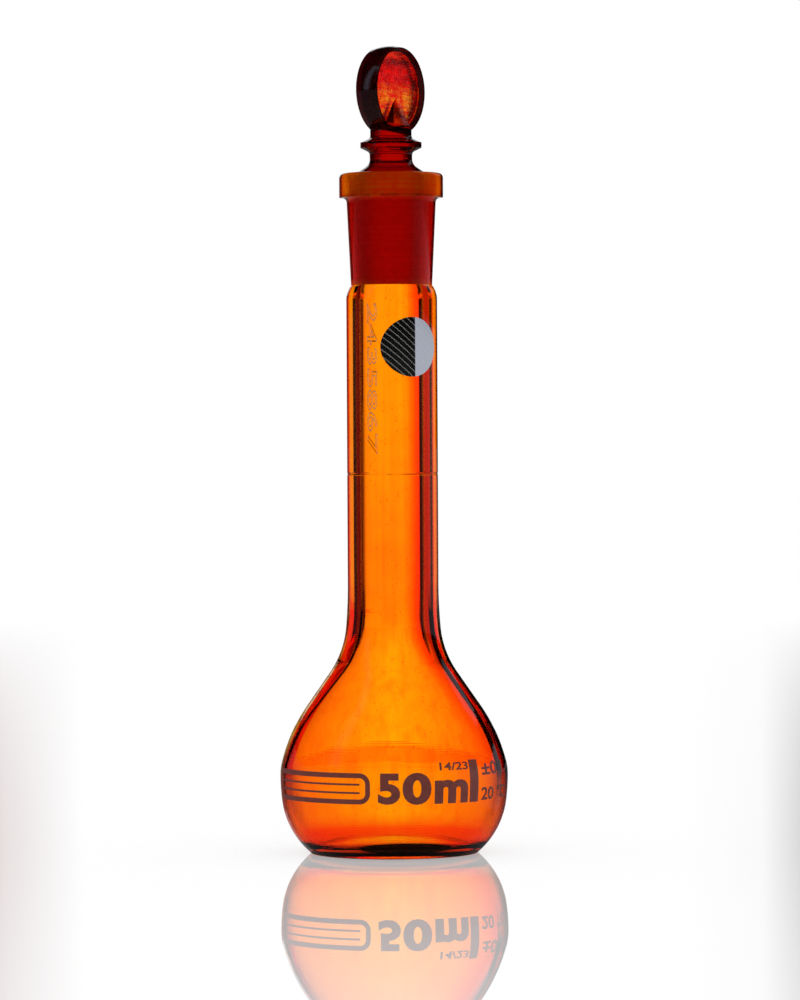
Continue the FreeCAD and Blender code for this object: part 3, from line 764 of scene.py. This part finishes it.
def amber_glass():
    """Clear glass with an amber skin: even on the drawn neck, thinner on the blown bulb, redder
    where it is seen aslant, dark red over the ground joint and with a brown line in the ring. On the
    skin lies painted light and shade too: dark lines along the bulb's outline, a shadow low on its
    front, a dark base, dark outlines and corners on the rim, and a paler tone in the mirror image."""
    material, tree, output = new_material("amber_glass")
    flaws = flaws_in(tree, *AMBER_FLAWS)
    drawn = mark(tree, "drawn")
    seen, to_eye, facing = level_view(tree)
    aslant = reckon(tree, "SUBTRACT", 1.0, facing, use_clamp=True)
    power = ramp(tree, drawn, 0.0, 1.0, *SLANT_POWER)
    aslant = reckon(tree, "POWER", aslant, power, use_clamp=True)
    thin, thick, over_joint = [
        mix_colour(tree, aslant, *pair) for pair in (BULB_STAIN, NECK_STAIN, JOINT_STAIN)]
    skin = mix_colour(tree, drawn, thin, thick)
    place = add(tree, "ShaderNodeTexCoord", out="Object")
    height = part_of(tree, place)
    in_throat = over_span(tree, height, *THROAT_FOOT)
    in_throat = times(tree, in_throat, over_span(tree, height, *THROAT_TOP))
    for share, stain in (
            (ramp(tree, facing, *BRIM), BRIM_STAIN),
            (over_span(tree, height, *HEEL), REDDER_STAIN),
            # painted shade: deep red low on the bulb, for the shadow round its foot
            (over_span(tree, height, *BASE), BASE_PAINTED_SHADE),
            (in_throat, REDDER_STAIN),
            (ramp(tree, flaws["Streaks"], *STREAKY), REDDER_STAIN),
            (ramp(tree, flaws["Clouds"], *CLOUDY), REDDER_STAIN),
            (times(tree, flaws["Specks"], SPECK_SHARE), REDDER_STAIN),
            # painted light: the glass turns paler and yellower in its mirror image on the table
            (times(tree, mirrored_ray(tree), MIRRORED_SHARE), MIRRORED_PAINTED_LIGHT)):
        skin = mix_colour(tree, share, skin, stain)

    level_place = vectors(tree, "MULTIPLY", place, (1, 1, 0))
    radius = vectors(tree, "LENGTH", level_place, out="Value")
    aside = part_of(tree, vectors(tree, "CROSS_PRODUCT", to_eye, level_place))
    inset = reckon(tree, "SUBTRACT", radius, reckon(tree, "ABSOLUTE", aside))
    sides = {1: reckon(tree, "GREATER_THAN", aside, 0.0), -1: reckon(tree, "LESS_THAN", aside, 0.0)}
    on_bulb = over_span(tree, height, *LINES_TOP)
    on_bulb = times(tree, on_bulb, over_span(tree, height, *LINES_FOOT))
    # Painted light and shade: the lines along the outline, on the left and right as the eye sees them.
    for side, slope, start, end, stain in PAINTED_EDGE_LINES:
        inward = reckon(tree, "MULTIPLY_ADD", radius, slope, inset)
        share = times(tree, on_bulb, sides[side])
        for edge, first, last in ((start, 0.0, 1.0), (end, 1.0, 0.0)):
            within = over_span(tree, inward, edge - LINE_BLUR, edge + LINE_BLUR, first, last)
            share = times(tree, share, within)
        skin = mix_colour(tree, share, skin, stain)

    # Painted shadow: the dark lens near the foot, on the side of the bulb that faces the eye, seen from
    # above.
    from_middle = []
    for value, middle, half in zip((aside, height), LENS_PLACE, LENS_SIZE):
        way = over_span(tree, value, middle - half, middle + half, -1.0, 1.0)
        way.node.clamp = False
        from_middle.append(way)
    lens = vectors(tree, "LENGTH", add(tree, "ShaderNodeCombineXYZ", from_middle), out="Value")
    lens = ramp(tree, lens, *LENS_FADE)
    nearness = vectors(tree, "DOT_PRODUCT", to_eye, level_place, out="Value")
    for value in (nearness, part_of(tree, seen["Incoming"])):
        lens = times(tree, lens, reckon(tree, "GREATER_THAN", value, 0.0))
    skin = mix_colour(tree, lens, skin, LENS_PAINTED_SHADOW)

    skin = mix_colour(tree, mark(tree, "joint"), skin, over_joint)
    # Painted shade: a dark line just inside the outline of the rim and of the skin over the joint.
    at_rim = reckon(tree, "GREATER_THAN", height, rim_foot * MM)
    at_mouth = reckon(tree, "MAXIMUM", at_rim, mark(tree, "joint"))
    outermost = times(tree, over_span(tree, inset, *OUTERMOST), at_mouth)
    skin = mix_colour(tree, outermost, skin, OUTERMOST_PAINTED_SHADE)
    # The ring's brown line, and painted shade on the rim's corners, which carry part of the ring mark.
    ring = times(tree, mark(tree, "ring"), ramp(tree, flaws["Clouds"], *RING_GAPS))
    skin = mix_colour(tree, ring, skin, RING_STAIN_AND_PAINTED_SHADE)
    colour = mix_colour(tree, mark(tree, "stain"), CLEAR, skin)
    glass = add(tree, "ShaderNodeBsdfPrincipled", {
        "Base Color": colour, "Roughness": 0.0, "IOR": GLASS_IOR, "Transmission Weight": 1.0,
        "Specular Tint": SKIN_TINT})
    tree.links.new(glass, output.inputs["Surface"])
    return material


def ground_glass():
    """The ground cone in the mouth: rough, with cloudy patches and the fine level lines that the
    grinding leaves. It is deep red in the neck and browner in the rim, where more light comes in."""
    material, tree, output = new_material("ground_cone")
    flaws = flaws_in(tree, *GROUND_FLAWS)
    place = add(tree, "ShaderNodeTexCoord", out="Object")
    level = add(tree, "ShaderNodeMapping", {"Vector": place, "Scale": GRIND_STRETCH})
    lines = grain_of(tree, level, GRIND_LINE)
    cloudy = times(tree, flaws["Clouds"], lines)
    share = ramp(tree, cloudy, *GROUND_CLOUDS)
    red, brown = [mix_colour(tree, share, *pair) for pair in (GROUND_RED, GROUND_BROWN)]
    in_rim = over_span(tree, part_of(tree, place), rim_foot - GROUND_BLEND, rim_foot, 0.0, 1.0)
    colour = mix_colour(tree, in_rim, red, brown)
    bump = add(tree, "ShaderNodeBump", {"Strength": 0.35, "Distance": GRIND_DEPTH * MM, "Height": lines})
    glass = add(tree, "ShaderNodeBsdfPrincipled", {
        "Base Color": colour, "Roughness": 0.45, "IOR": GLASS_IOR, "Transmission Weight": 0.75,
        "Specular Tint": GROUND_TINT, "Normal": bump})
    tree.links.new(glass, output.inputs["Surface"])
    return material


amber = amber_glass()
blown = turn("blown_flask", section, amber, ground_glass(), WALL_WAVER, WAVER_SEED)
flask = new_piece("blown_flask", blown)
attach(flask, "flask")
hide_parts("flask")


# Print on the bulb. The capacity, the joint size, the tolerance and the temperature, fired on in
# brown enamel, and a ruled field to write in. The print follows the curve of the bulb.
ENAMEL_OVER = 0.012
ENAMEL_UNDER = 0.02
PRINT_CELL = 0.6
PRINT_CELL_START = 0.05
FOOT_POINTS = 20
BOLD = 0.045
SMALL_BOLD = 0.025
CAPACITY = (
    ("5", -3.3, 1.25, 11.6, 17.9), ("0", 1.7, 7.7, 11.5, 18.0),
    ("m", 8.4, 16.3, 11.6, 16.4), ("l", 16.8, 19.2, 11.6, 20.2))
JOINT_SIZE = ("14/23", 9.6, 16.5, 18.3, 19.9)
TOLERANCE = ("\u00b10.1", 20.4, 29.0, 16.9, 19.6)
TEMPERATURE = ("20 \u00b0C", 20.2, 30.5, 11.8, 14.6)
FIELD = (-32.7, -4.9, 11.6, 17.9)
FIELD_LINE = 1.0
FIELD_CORNER = 1.7
FIELD_RULES = (13.9, 15.6)
RULE_LINE = 0.4
CORNER_STEPS = 6
ENAMEL_FLAWS = (1, 1.2, 0.5)
ENAMEL = ((0.10, 0.022, 0.016, 1), (0.20, 0.045, 0.034, 1))


def flat_text(body, bold=0.0, line=0.0):
    """The flat mesh of some text, or with a line its outlines alone."""
    curve = bpy.data.curves.new("text", "FONT")
    curve.body = body
    curve.offset = bold
    curve.resolution_u = 5
    if line:
        curve.fill_mode = "NONE"
        curve.bevel_depth = line
        curve.bevel_resolution = 0
    holder = new_piece("text", curve)
    mesh = shaped(holder)
    bpy.data.objects.remove(holder)
    return mesh


def settled(built, name):
    """The mesh of what was built point by point."""
    mesh = bpy.data.meshes.new(name)
    built.to_mesh(mesh)
    built.free()
    return mesh


def corners_of(mesh):
    places = np.array([vertex.co for vertex in mesh.vertices])
    return places.min(axis=0), places.max(axis=0)


def fitted_text(glyphs, left, right, low, high, bold=0.0):
    """Text stretched to a box in millimetres."""
    mesh = flat_text(glyphs, bold)
    least, most = corners_of(mesh)
    wide = (right - left) / (most[0] - least[0])
    tall = (high - low) / (most[1] - least[1])
    for vertex in mesh.vertices:
        across = left + (vertex.co.x - least[0]) * wide
        vertex.co = (across, low + (vertex.co.y - least[1]) * tall, 0)
    return mesh


def strip(points, wide):
    """A flat line of some width through points, closed if it ends where it starts."""
    built = bmesh.new()
    closed = points[0] == points[-1]
    rows = []
    for place, point in enumerate(points):
        before = points[place - 1] if place else (points[-2] if closed else point)
        after = points[place + 1] if place + 1 < len(points) else (points[1] if closed else point)
        way = Vector((after[0] - before[0], after[1] - before[1])).normalized()
        side = Vector((-way.y, way.x)) * wide / 2
        ends = [(point[0] + side.x * sign, point[1] + side.y * sign, 0) for sign in (-1, 1)]
        rows.append([built.verts.new(end) for end in ends])
    for row, after in zip(rows, rows[1:]):
        built.faces.new((row[0], after[0], after[1], row[1]))
    return settled(built, "strip")


def round_axis(angle, radius, height):
    """A place in metres, given by its angle from the front and its lengths in millimetres."""
    return Vector((radius * math.sin(angle), -radius * math.cos(angle), height)) * MM


def fire_on(name, meshes, material):
    """Flat meshes in millimetres, laid on the outside of the bulb as one thin solid."""
    built = bmesh.new()
    for mesh in meshes:
        built.from_mesh(mesh)
    for axis in (0, 1):
        values = [vertex.co[axis] for vertex in built.verts]
        first_cut = math.floor(min(values)) + PRINT_CELL_START
        for cut in np.arange(first_cut, max(values), PRINT_CELL):
            where = [0, 0, 0]
            where[axis] = cut
            normal = [0, 0, 0]
            normal[axis] = 1
            everything = built.verts[:] + built.edges[:] + built.faces[:]
            bmesh.ops.bisect_plane(built, geom=everything, plane_co=where, plane_no=normal)
    bmesh.ops.triangulate(built, faces=built.faces[:])
    lower_layer = built.verts[:]
    raised = bmesh.ops.extrude_face_region(built, geom=built.faces[:], use_keep_orig=True)
    upper_layer = [part for part in raised["geom"] if isinstance(part, bmesh.types.BMVert)]
    across, up = np.array(section.points[FOOT_POINTS:outer_points]).T
    for layer, depth in ((lower_layer, -ENAMEL_UNDER), (upper_layer, ENAMEL_OVER)):
        for vertex in layer:
            angle = vertex.co.x / BULB_RADIUS
            radius = np.interp(vertex.co.y, up, across) + depth
            vertex.co = round_axis(angle, radius, vertex.co.y)
    bmesh.ops.recalc_face_normals(built, faces=built.faces[:])
    return new_piece(name, settled(built, name), material)


def enamel():
    """Brown enamel, a little worn and uneven."""
    material, tree, output = new_material("brown_enamel")
    colour = mix_colour(tree, flaws_in(tree, *ENAMEL_FLAWS)["Clouds"], *ENAMEL)
    paint = add(tree, "ShaderNodeBsdfPrincipled", {"Base Color": colour, "Roughness": 0.28})
    tree.links.new(paint, output.inputs["Surface"])
    return material


left, right, low, high = [edge + FIELD_LINE / 2 * side for edge, side in zip(FIELD, (1, -1, 1, -1))]
frame_line = []
for corner, (across, up) in enumerate(((right, high), (left, high), (left, low), (right, low))):
    centre = (across - math.copysign(FIELD_CORNER, across - (left + right) / 2),
              up - math.copysign(FIELD_CORNER, up - (low + high) / 2))
    for step in range(CORNER_STEPS + 1):
        frame_line.append(polar(centre, FIELD_CORNER, quarter * (corner + step / CORNER_STEPS)))
frame_line.append(frame_line[0])
ruled = [strip(frame_line, FIELD_LINE)]
for up in FIELD_RULES:
    ruled.append(strip([(left + FIELD_CORNER, up), (right - FIELD_CORNER, up)], RULE_LINE))
words = [fitted_text(*figure, bold=BOLD) for figure in CAPACITY]
words += [fitted_text(*small, bold=SMALL_BOLD) for small in (JOINT_SIZE, TOLERANCE, TEMPERATURE)]
print_on_bulb = fire_on("bulb_print", words + ruled, enamel())
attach(print_on_bulb, "flask")


# Number on the neck. Thin outlines of plain figures, engraved one under another on the left.
NUMBER = "2435867"
NUMBER_ANGLE = math.radians(-26)
NUMBER_HIGH = 2.3
NUMBER_TOP = 113.0
NUMBER_FOOT = 82.0
NUMBER_LINE = 0.042
NUMBER_SINK = 0.025

etched, tree, output = new_material("etched_line")
glass = add(tree, "ShaderNodeBsdfPrincipled", {
    "Base Color": (1.0, 0.8, 0.45, 1), "Roughness": 0.45, "IOR": GLASS_IOR, "Transmission Weight": 0.6})
tree.links.new(glass, output.inputs["Surface"])
mesh = flat_text(NUMBER, line=NUMBER_LINE / NUMBER_HIGH)
least, most = corners_of(mesh)
tall = NUMBER_HIGH / (most[1] - least[1])
wide = (NUMBER_TOP - NUMBER_FOOT) / (most[0] - least[0])
for vertex in mesh.vertices:
    angle = NUMBER_ANGLE + (vertex.co.y - (least[1] + most[1]) / 2) * tall / NECK_RADIUS
    radius = NECK_RADIUS - NUMBER_SINK + vertex.co.z * NUMBER_HIGH
    height = NUMBER_TOP - (vertex.co.x - least[0]) * wide
    vertex.co = round_axis(angle, radius, height)
number = new_piece("neck_number", mesh, etched)
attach(number, "flask")


# Foil seal. A round of thin bright foil, stuck on the neck below the mouth, with fine lines
# across it that guard it against copying.
FOIL_ANGLE = math.radians(26)
GUARD_TILT = math.radians(48)
GUARD_SPACING = 3.2
GUARD_LINES = (0.88, 0.98, 0.0, 0.3)

foil_paint, tree, output = new_material("bright_foil")
place = add(tree, "ShaderNodeTexCoord", out="Object")
turned = add(tree, "ShaderNodeVectorRotate", {
    "Vector": place, "Angle": -FOIL_ANGLE}, rotation_type="Z_AXIS")
slope = add(tree, "ShaderNodeVectorRotate", {
    "Vector": turned, "Angle": GUARD_TILT}, rotation_type="Y_AXIS")
waves = add(tree, "ShaderNodeTexWave", {
    "Vector": slope, "Scale": 1 / (GUARD_SPACING * MM), "Distortion": 0.6,
    "Detail": 1.0, "Detail Scale": 400.0}, out="Fac")
lines = ramp(tree, waves, *GUARD_LINES)
metal = add(tree, "ShaderNodeBsdfPrincipled", {
    "Base Color": (0.93, 0.92, 0.93, 1), "Metallic": 1.0, "Roughness": 0.07})
ink = add(tree, "ShaderNodeBsdfPrincipled", {"Base Color": (0.5, 0.49, 0.45, 1), "Roughness": 0.4})
surface = add(tree, "ShaderNodeMixShader", [lines, metal, ink])
tree.links.new(surface, output.inputs["Surface"])
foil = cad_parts["foil_seal"]
foil.data.materials.clear()
foil.data.materials.append(foil_paint)


# Stopper. Pressed in one piece from glass that is stained deep red and ground on its plug: plug,
# waist, knop and stem are turned, the round head stands on edge, and a tongue runs out over it.
JOINT_CLEARANCE = 0.04
PLUG_EDGE = 0.5
STEM_WAIST_RADIUS = 4.38
STEM_WAIST_LEVEL = FLASK_HEIGHT + 2.9
FLARE_ROUND = 1.9
KNOP_LEVEL = FLASK_HEIGHT + 5.77
KNOP_RADIUS = 6.32
KNOP_LAND = 1.1
KNOP_HALF = 2.0
KNOP_ROUND = 0.8
STEM_RADIUS = 4.27
STEM_TOP = FLASK_HEIGHT + 9.6
TONGUE_FOOT = FLASK_HEIGHT + 9.5
TONGUE_RISE = 6.2
TONGUE_FOOT_SIZE = (10.2, 7.2)
TONGUE_TIP_SIZE = (3.2, 3.0)
HEAD_LEVEL = FLASK_HEIGHT + 16.95
HEAD_RADIUS = 9.15
HEAD_THICKNESS = 5.1
HEAD_LAND = 1.8
HEAD_BEVEL = 0.3
DISH_RADIUS = 8.55
DISH_FLOOR_RADIUS = 8.3
DISH_DEPTH = 1.0
HEAD_TURN = math.radians(-34)
SHARP_BEND = math.radians(28)
RED_FLAWS = (1.2, 1.6, 0.7)
RIPPLE = 0.55
RIPPLE_STRETCH = (0.14, 0.14, 1)
GRAIN = 0.3
RELIEF_DEPTH = 0.5
PLUG_ROUGHNESS = 0.34
DISH_ROUGHNESS = 0.02
DISH_RELIEF = 0.25
EDGE_ROUGHNESS = 0.12

# Colours of the red glass, and of the painted shade on its edge, flanks and stem. A pair is its darker
# and its lighter part.
UPPER_HEAD = ((0.30, 0.001, 0.002, 1), (1.0, 0.008, 0.005, 1))
LOWER_HEAD = ((0.95, 0.012, 0.01, 1), (1.0, 1.0, 0.10, 1))
LOWER_MOTTLE = (0.8, 0.012, 0.01, 1)
CROWN_STAIN = (1.0, 0.07, 0.05, 1)
CRACKLE_STAIN = (0.02, 0.001, 0.001, 1)
STEM_STAIN = (0.45, 0.02, 0.02, 1)
# Painted shade: the stem's sides where they are seen aslant.
STEM_SIDE_PAINTED_SHADE = (0.01, 0.001, 0.001, 1)
# Painted shade: the dark lines on the tongue's steep flanks.
FLANK_PAINTED_SHADE = (0.003, 0.001, 0.001, 1)
# Painted shade: the head's edge, darker seen from outside and lighter seen from inside.
EDGE_PAINTED_SHADE = ((0.0015, 0.0005, 0.0008, 1), (0.35, 0.03, 0.03, 1))
SHINE = ((0.3, 0.1, 0.1, 1), (0.85, 0.93, 1.0, 1))
BULK_COLOUR = (0.97, 0.7, 0.25, 1)
BULK_DENSITY = 1000.0

# Where they lie: from, to, and how much there is at either end. Lengths are millimetres.
MOTTLED = (0.17, 0.29, 0.0, 1.0)
RIPPLED = (0.40, 0.53, 0.0, 1.0)
CRACKLED = (0.47, 0.55, 1.0, 0.0)
CRACKLE_LEVEL = HEAD_LEVEL + 5.9
NEAR_CRACKLE = (0.3, 1.3, 1.0, 0.0)
LOWER = (HEAD_LEVEL - 1.0, HEAD_LEVEL + 1.8, 1.0, 0.0)
CROWN = (HEAD_LEVEL + 5.8, HEAD_LEVEL + 7.2, 0.0, 1.0)
STEM = (STEM_TOP - 0.5, STEM_TOP + 1.0, 1.0, 0.0)
STEM_SIDE = (0.6, 0.85, 0.97, 0.0)
TONGUE = (STEM_TOP, STEM_TOP + 0.6, 0.0, 1.0)
FLANK_FACING = (0.80, 0.86, 1.0, 0.0)
DISH = (DISH_FLOOR_RADIUS - 0.3, DISH_FLOOR_RADIUS, 1.0, 0.0)
EDGE_RISE = (7.95, 8.1, 0.0, 1.0)
EDGE_END = 9.3
PLUG = (FLASK_HEIGHT - 0.4, FLASK_HEIGHT - 0.2, PLUG_ROUGHNESS, 0.0)


def run_out(section, corner, stem, level, hollow, outward=False):
    """A slope from a corner into a hollow arc that ends upright on the stem, or the way back."""
    centre = (stem + hollow, level)
    slope = math.sqrt(math.dist(corner, centre) ** 2 - hollow**2)
    if outward:
        end = meeting(corner, slope, centre, hollow)
        section.to(stem, level, 2)
        section.arc(centre, hollow, math.pi, angle_of(centre, end) % (2 * math.pi), 8)
        section.to(*corner, 3)
    else:
        end = meeting(centre, hollow, corner, slope)
        section.to(*end, 3)
        section.arc(centre, hollow, angle_of(centre, end) % (2 * math.pi), math.pi, 8)


plug_radius = SOCKET_RADIUS - JOINT_CLEARANCE
plug_foot = plug_radius - SOCKET_LENGTH * JOINT_TAPER
stem = Section()
stem.to(0, waist_height)
stem.to(plug_foot - PLUG_EDGE, waist_height, 4)
stem.arc((plug_foot - PLUG_EDGE, waist_height + PLUG_EDGE), PLUG_EDGE, -quarter, 0, 5)
stem.to(plug_radius, FLASK_HEIGHT, 20)
run_out(stem, (plug_radius, FLASK_HEIGHT), STEM_WAIST_RADIUS, STEM_WAIST_LEVEL, FLARE_ROUND)
knop_foot, knop_top = [(KNOP_RADIUS, KNOP_LEVEL + KNOP_LAND / 2 * side) for side in (-1, 1)]
run_out(stem, knop_foot, STEM_WAIST_RADIUS, KNOP_LEVEL - KNOP_HALF, KNOP_ROUND, outward=True)
stem.to(*knop_top)
run_out(stem, knop_top, STEM_RADIUS, KNOP_LEVEL + KNOP_HALF, KNOP_ROUND)
stem.to(STEM_RADIUS, STEM_TOP, 3)
stem.to(0, STEM_TOP, 4)

face = HEAD_THICKNESS / 2
floor = face - DISH_DEPTH
head = Section()
for across, up, steps in (
        (0, -floor, 1), (DISH_FLOOR_RADIUS, -floor, 14), (DISH_RADIUS, -face, 2),
        (HEAD_RADIUS - HEAD_BEVEL, -face, 1), (HEAD_RADIUS, -HEAD_LAND / 2, 2),
        (HEAD_RADIUS, HEAD_LAND / 2, 2), (HEAD_RADIUS - HEAD_BEVEL, face, 2),
        (DISH_RADIUS, face, 1), (DISH_FLOOR_RADIUS, floor, 2), (0, floor, 14)):
    head.to(across, up, steps)


def tongue_mesh(steps=96, rows=16):
    """The tongue of glass over the foot of the head: ovals that shrink upwards."""
    built = bmesh.new()
    rings = []
    for row in range(rows + 1):
        share = row / rows
        sizes = zip(TONGUE_FOOT_SIZE, TONGUE_TIP_SIZE)
        wide, deep = [foot + (tip - foot) * share for foot, tip in sizes]
        height = TONGUE_FOOT + TONGUE_RISE * share
        ring = []
        for step in range(steps):
            angle = 2 * math.pi * step / steps
            place = (deep / 2 * math.cos(angle), wide / 2 * math.sin(angle), height)
            ring.append(built.verts.new(place))
        rings.append(ring)
    for low, high in zip(rings, rings[1:]):
        for step in range(steps):
            after = (step + 1) % steps
            built.faces.new((low[step], low[after], high[after], high[step]))
    built.faces.new(reversed(rings[0]))
    built.faces.new(rings[-1])
    mesh = settled(built, "tongue")
    mesh.transform(Matrix.Rotation(HEAD_TURN, 4, "Z") @ Matrix.Scale(MM, 4))
    return mesh


def red_glass():
    """Deep red glass, rough on the ground plug. Painted shade makes the edge of the head nearly
    black and darkens the tongue's flanks and the stem's sides."""
    material, tree, output = new_material("red_glass")
    place = add(tree, "ShaderNodeTexCoord", out="Object")
    height = part_of(tree, place)
    level = add(tree, "ShaderNodeMapping", {"Vector": place, "Scale": RIPPLE_STRETCH})
    ripples = grain_of(tree, level, RIPPLE, Distortion=0.5)
    grain = grain_of(tree, place, GRAIN)
    mottle = times(tree, flaws_in(tree, *RED_FLAWS)["Clouds"], grain)
    mottle = ramp(tree, mottle, *MOTTLED)
    upper = mix_colour(tree, mottle, *UPPER_HEAD)
    lower = mix_colour(tree, ramp(tree, ripples, *RIPPLED), *LOWER_HEAD)
    lower = mix_colour(tree, mottle, LOWER_MOTTLE, lower)
    colour = mix_colour(tree, over_span(tree, height, *LOWER), upper, lower)
    colour = mix_colour(tree, over_span(tree, height, *CROWN), colour, CROWN_STAIN)
    from_crackle = reckon(tree, "SUBTRACT", height, CRACKLE_LEVEL * MM)
    near_crackle = over_span(tree, reckon(tree, "ABSOLUTE", from_crackle), *NEAR_CRACKLE)
    crackle = times(tree, near_crackle, ramp(tree, grain, *CRACKLED))
    colour = mix_colour(tree, crackle, colour, CRACKLE_STAIN)
    on_stem = over_span(tree, height, *STEM)
    colour = mix_colour(tree, on_stem, colour, STEM_STAIN)
    # Painted shade: the stem turns nearly black at its sides, where it is seen aslant.
    seen, _, facing = level_view(tree)
    aslant = times(tree, ramp(tree, facing, *STEM_SIDE), on_stem)
    colour = mix_colour(tree, aslant, colour, STEM_SIDE_PAINTED_SHADE)

    axle = (math.cos(HEAD_TURN), math.sin(HEAD_TURN), 0)
    from_head = vectors(tree, "SUBTRACT", place, (0, 0, HEAD_LEVEL * MM))
    along = vectors(tree, "DOT_PRODUCT", from_head, axle, out="Value")
    along = add(tree, "ShaderNodeVectorMath", {0: axle, "Scale": along}, operation="SCALE")
    across = vectors(tree, "LENGTH", vectors(tree, "SUBTRACT", from_head, along), out="Value")
    # Painted shade: the tongue's steep flanks turn nearly black, for the dark lines they show.
    flat = vectors(tree, "DOT_PRODUCT", seen["True Normal"], axle, out="Value")
    flank = ramp(tree, reckon(tree, "ABSOLUTE", flat), *FLANK_FACING)
    flank = times(tree, flank, over_span(tree, height, *TONGUE))
    inner = reckon(tree, "LESS_THAN", across, DISH_FLOOR_RADIUS * MM)
    flank = times(tree, flank, inner)
    colour = mix_colour(tree, flank, colour, FLANK_PAINTED_SHADE)
    # Painted shade: the edge of the head nearly black, a little lighter where it is seen from inside.
    on_head = reckon(tree, "LESS_THAN", across, EDGE_END * MM)
    edge = times(tree, over_span(tree, across, *EDGE_RISE), on_head)
    stain = mix_colour(tree, seen["Backfacing"], *EDGE_PAINTED_SHADE)
    colour = mix_colour(tree, edge, colour, stain)
    shine = mix_colour(tree, edge, *SHINE)

    above = reckon(tree, "GREATER_THAN", height, STEM_TOP * MM)
    in_dish = times(tree, over_span(tree, across, *DISH), above)
    rough = times(tree, in_dish, DISH_ROUGHNESS)
    rough = reckon(tree, "MAXIMUM", rough, over_span(tree, height, *PLUG))
    rough = reckon(tree, "MAXIMUM", rough, times(tree, edge, EDGE_ROUGHNESS))
    uneven = times(tree, in_dish, DISH_RELIEF)
    relief = reckon(tree, "MULTIPLY_ADD", ripples, 2.0, grain)
    bump = add(tree, "ShaderNodeBump", {"Strength": uneven, "Distance": RELIEF_DEPTH * MM, "Height": relief})
    glass = add(tree, "ShaderNodeBsdfPrincipled", {
        "Base Color": colour, "Roughness": rough, "IOR": GLASS_IOR, "Transmission Weight": 1.0,
        "Specular Tint": shine, "Normal": bump})
    tree.links.new(glass, output.inputs["Surface"])
    bulk = add(tree, "ShaderNodeVolumeAbsorption", {"Color": BULK_COLOUR, "Density": BULK_DENSITY})
    tree.links.new(bulk, output.inputs["Volume"])
    return material


red = red_glass()
stopper = new_piece("pressed_stopper", turn("stem", stem, red))
head_mesh = turn("head", head, red)
on_edge = Matrix.Rotation(HEAD_TURN, 4, "Z") @ Matrix.Rotation(quarter, 4, "Y")
head_mesh.transform(Matrix.Translation((0, 0, HEAD_LEVEL * MM)) @ on_edge)
parts = [new_piece("head", head_mesh), new_piece("tongue", tongue_mesh(), red)]
for part in parts:
    union = stopper.modifiers.new("pressed_with_" + part.name, "BOOLEAN")
    union.object = part
    union.operation = "UNION"
    union.solver = "EXACT"
joined = shaped(stopper)
stopper.modifiers.clear()
stopper.data = joined
for part in parts:
    bpy.data.objects.remove(part)
joined.shade_smooth()
joined.set_sharp_from_angle(angle=SHARP_BEND)
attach(stopper, "stopper")
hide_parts("stopper")
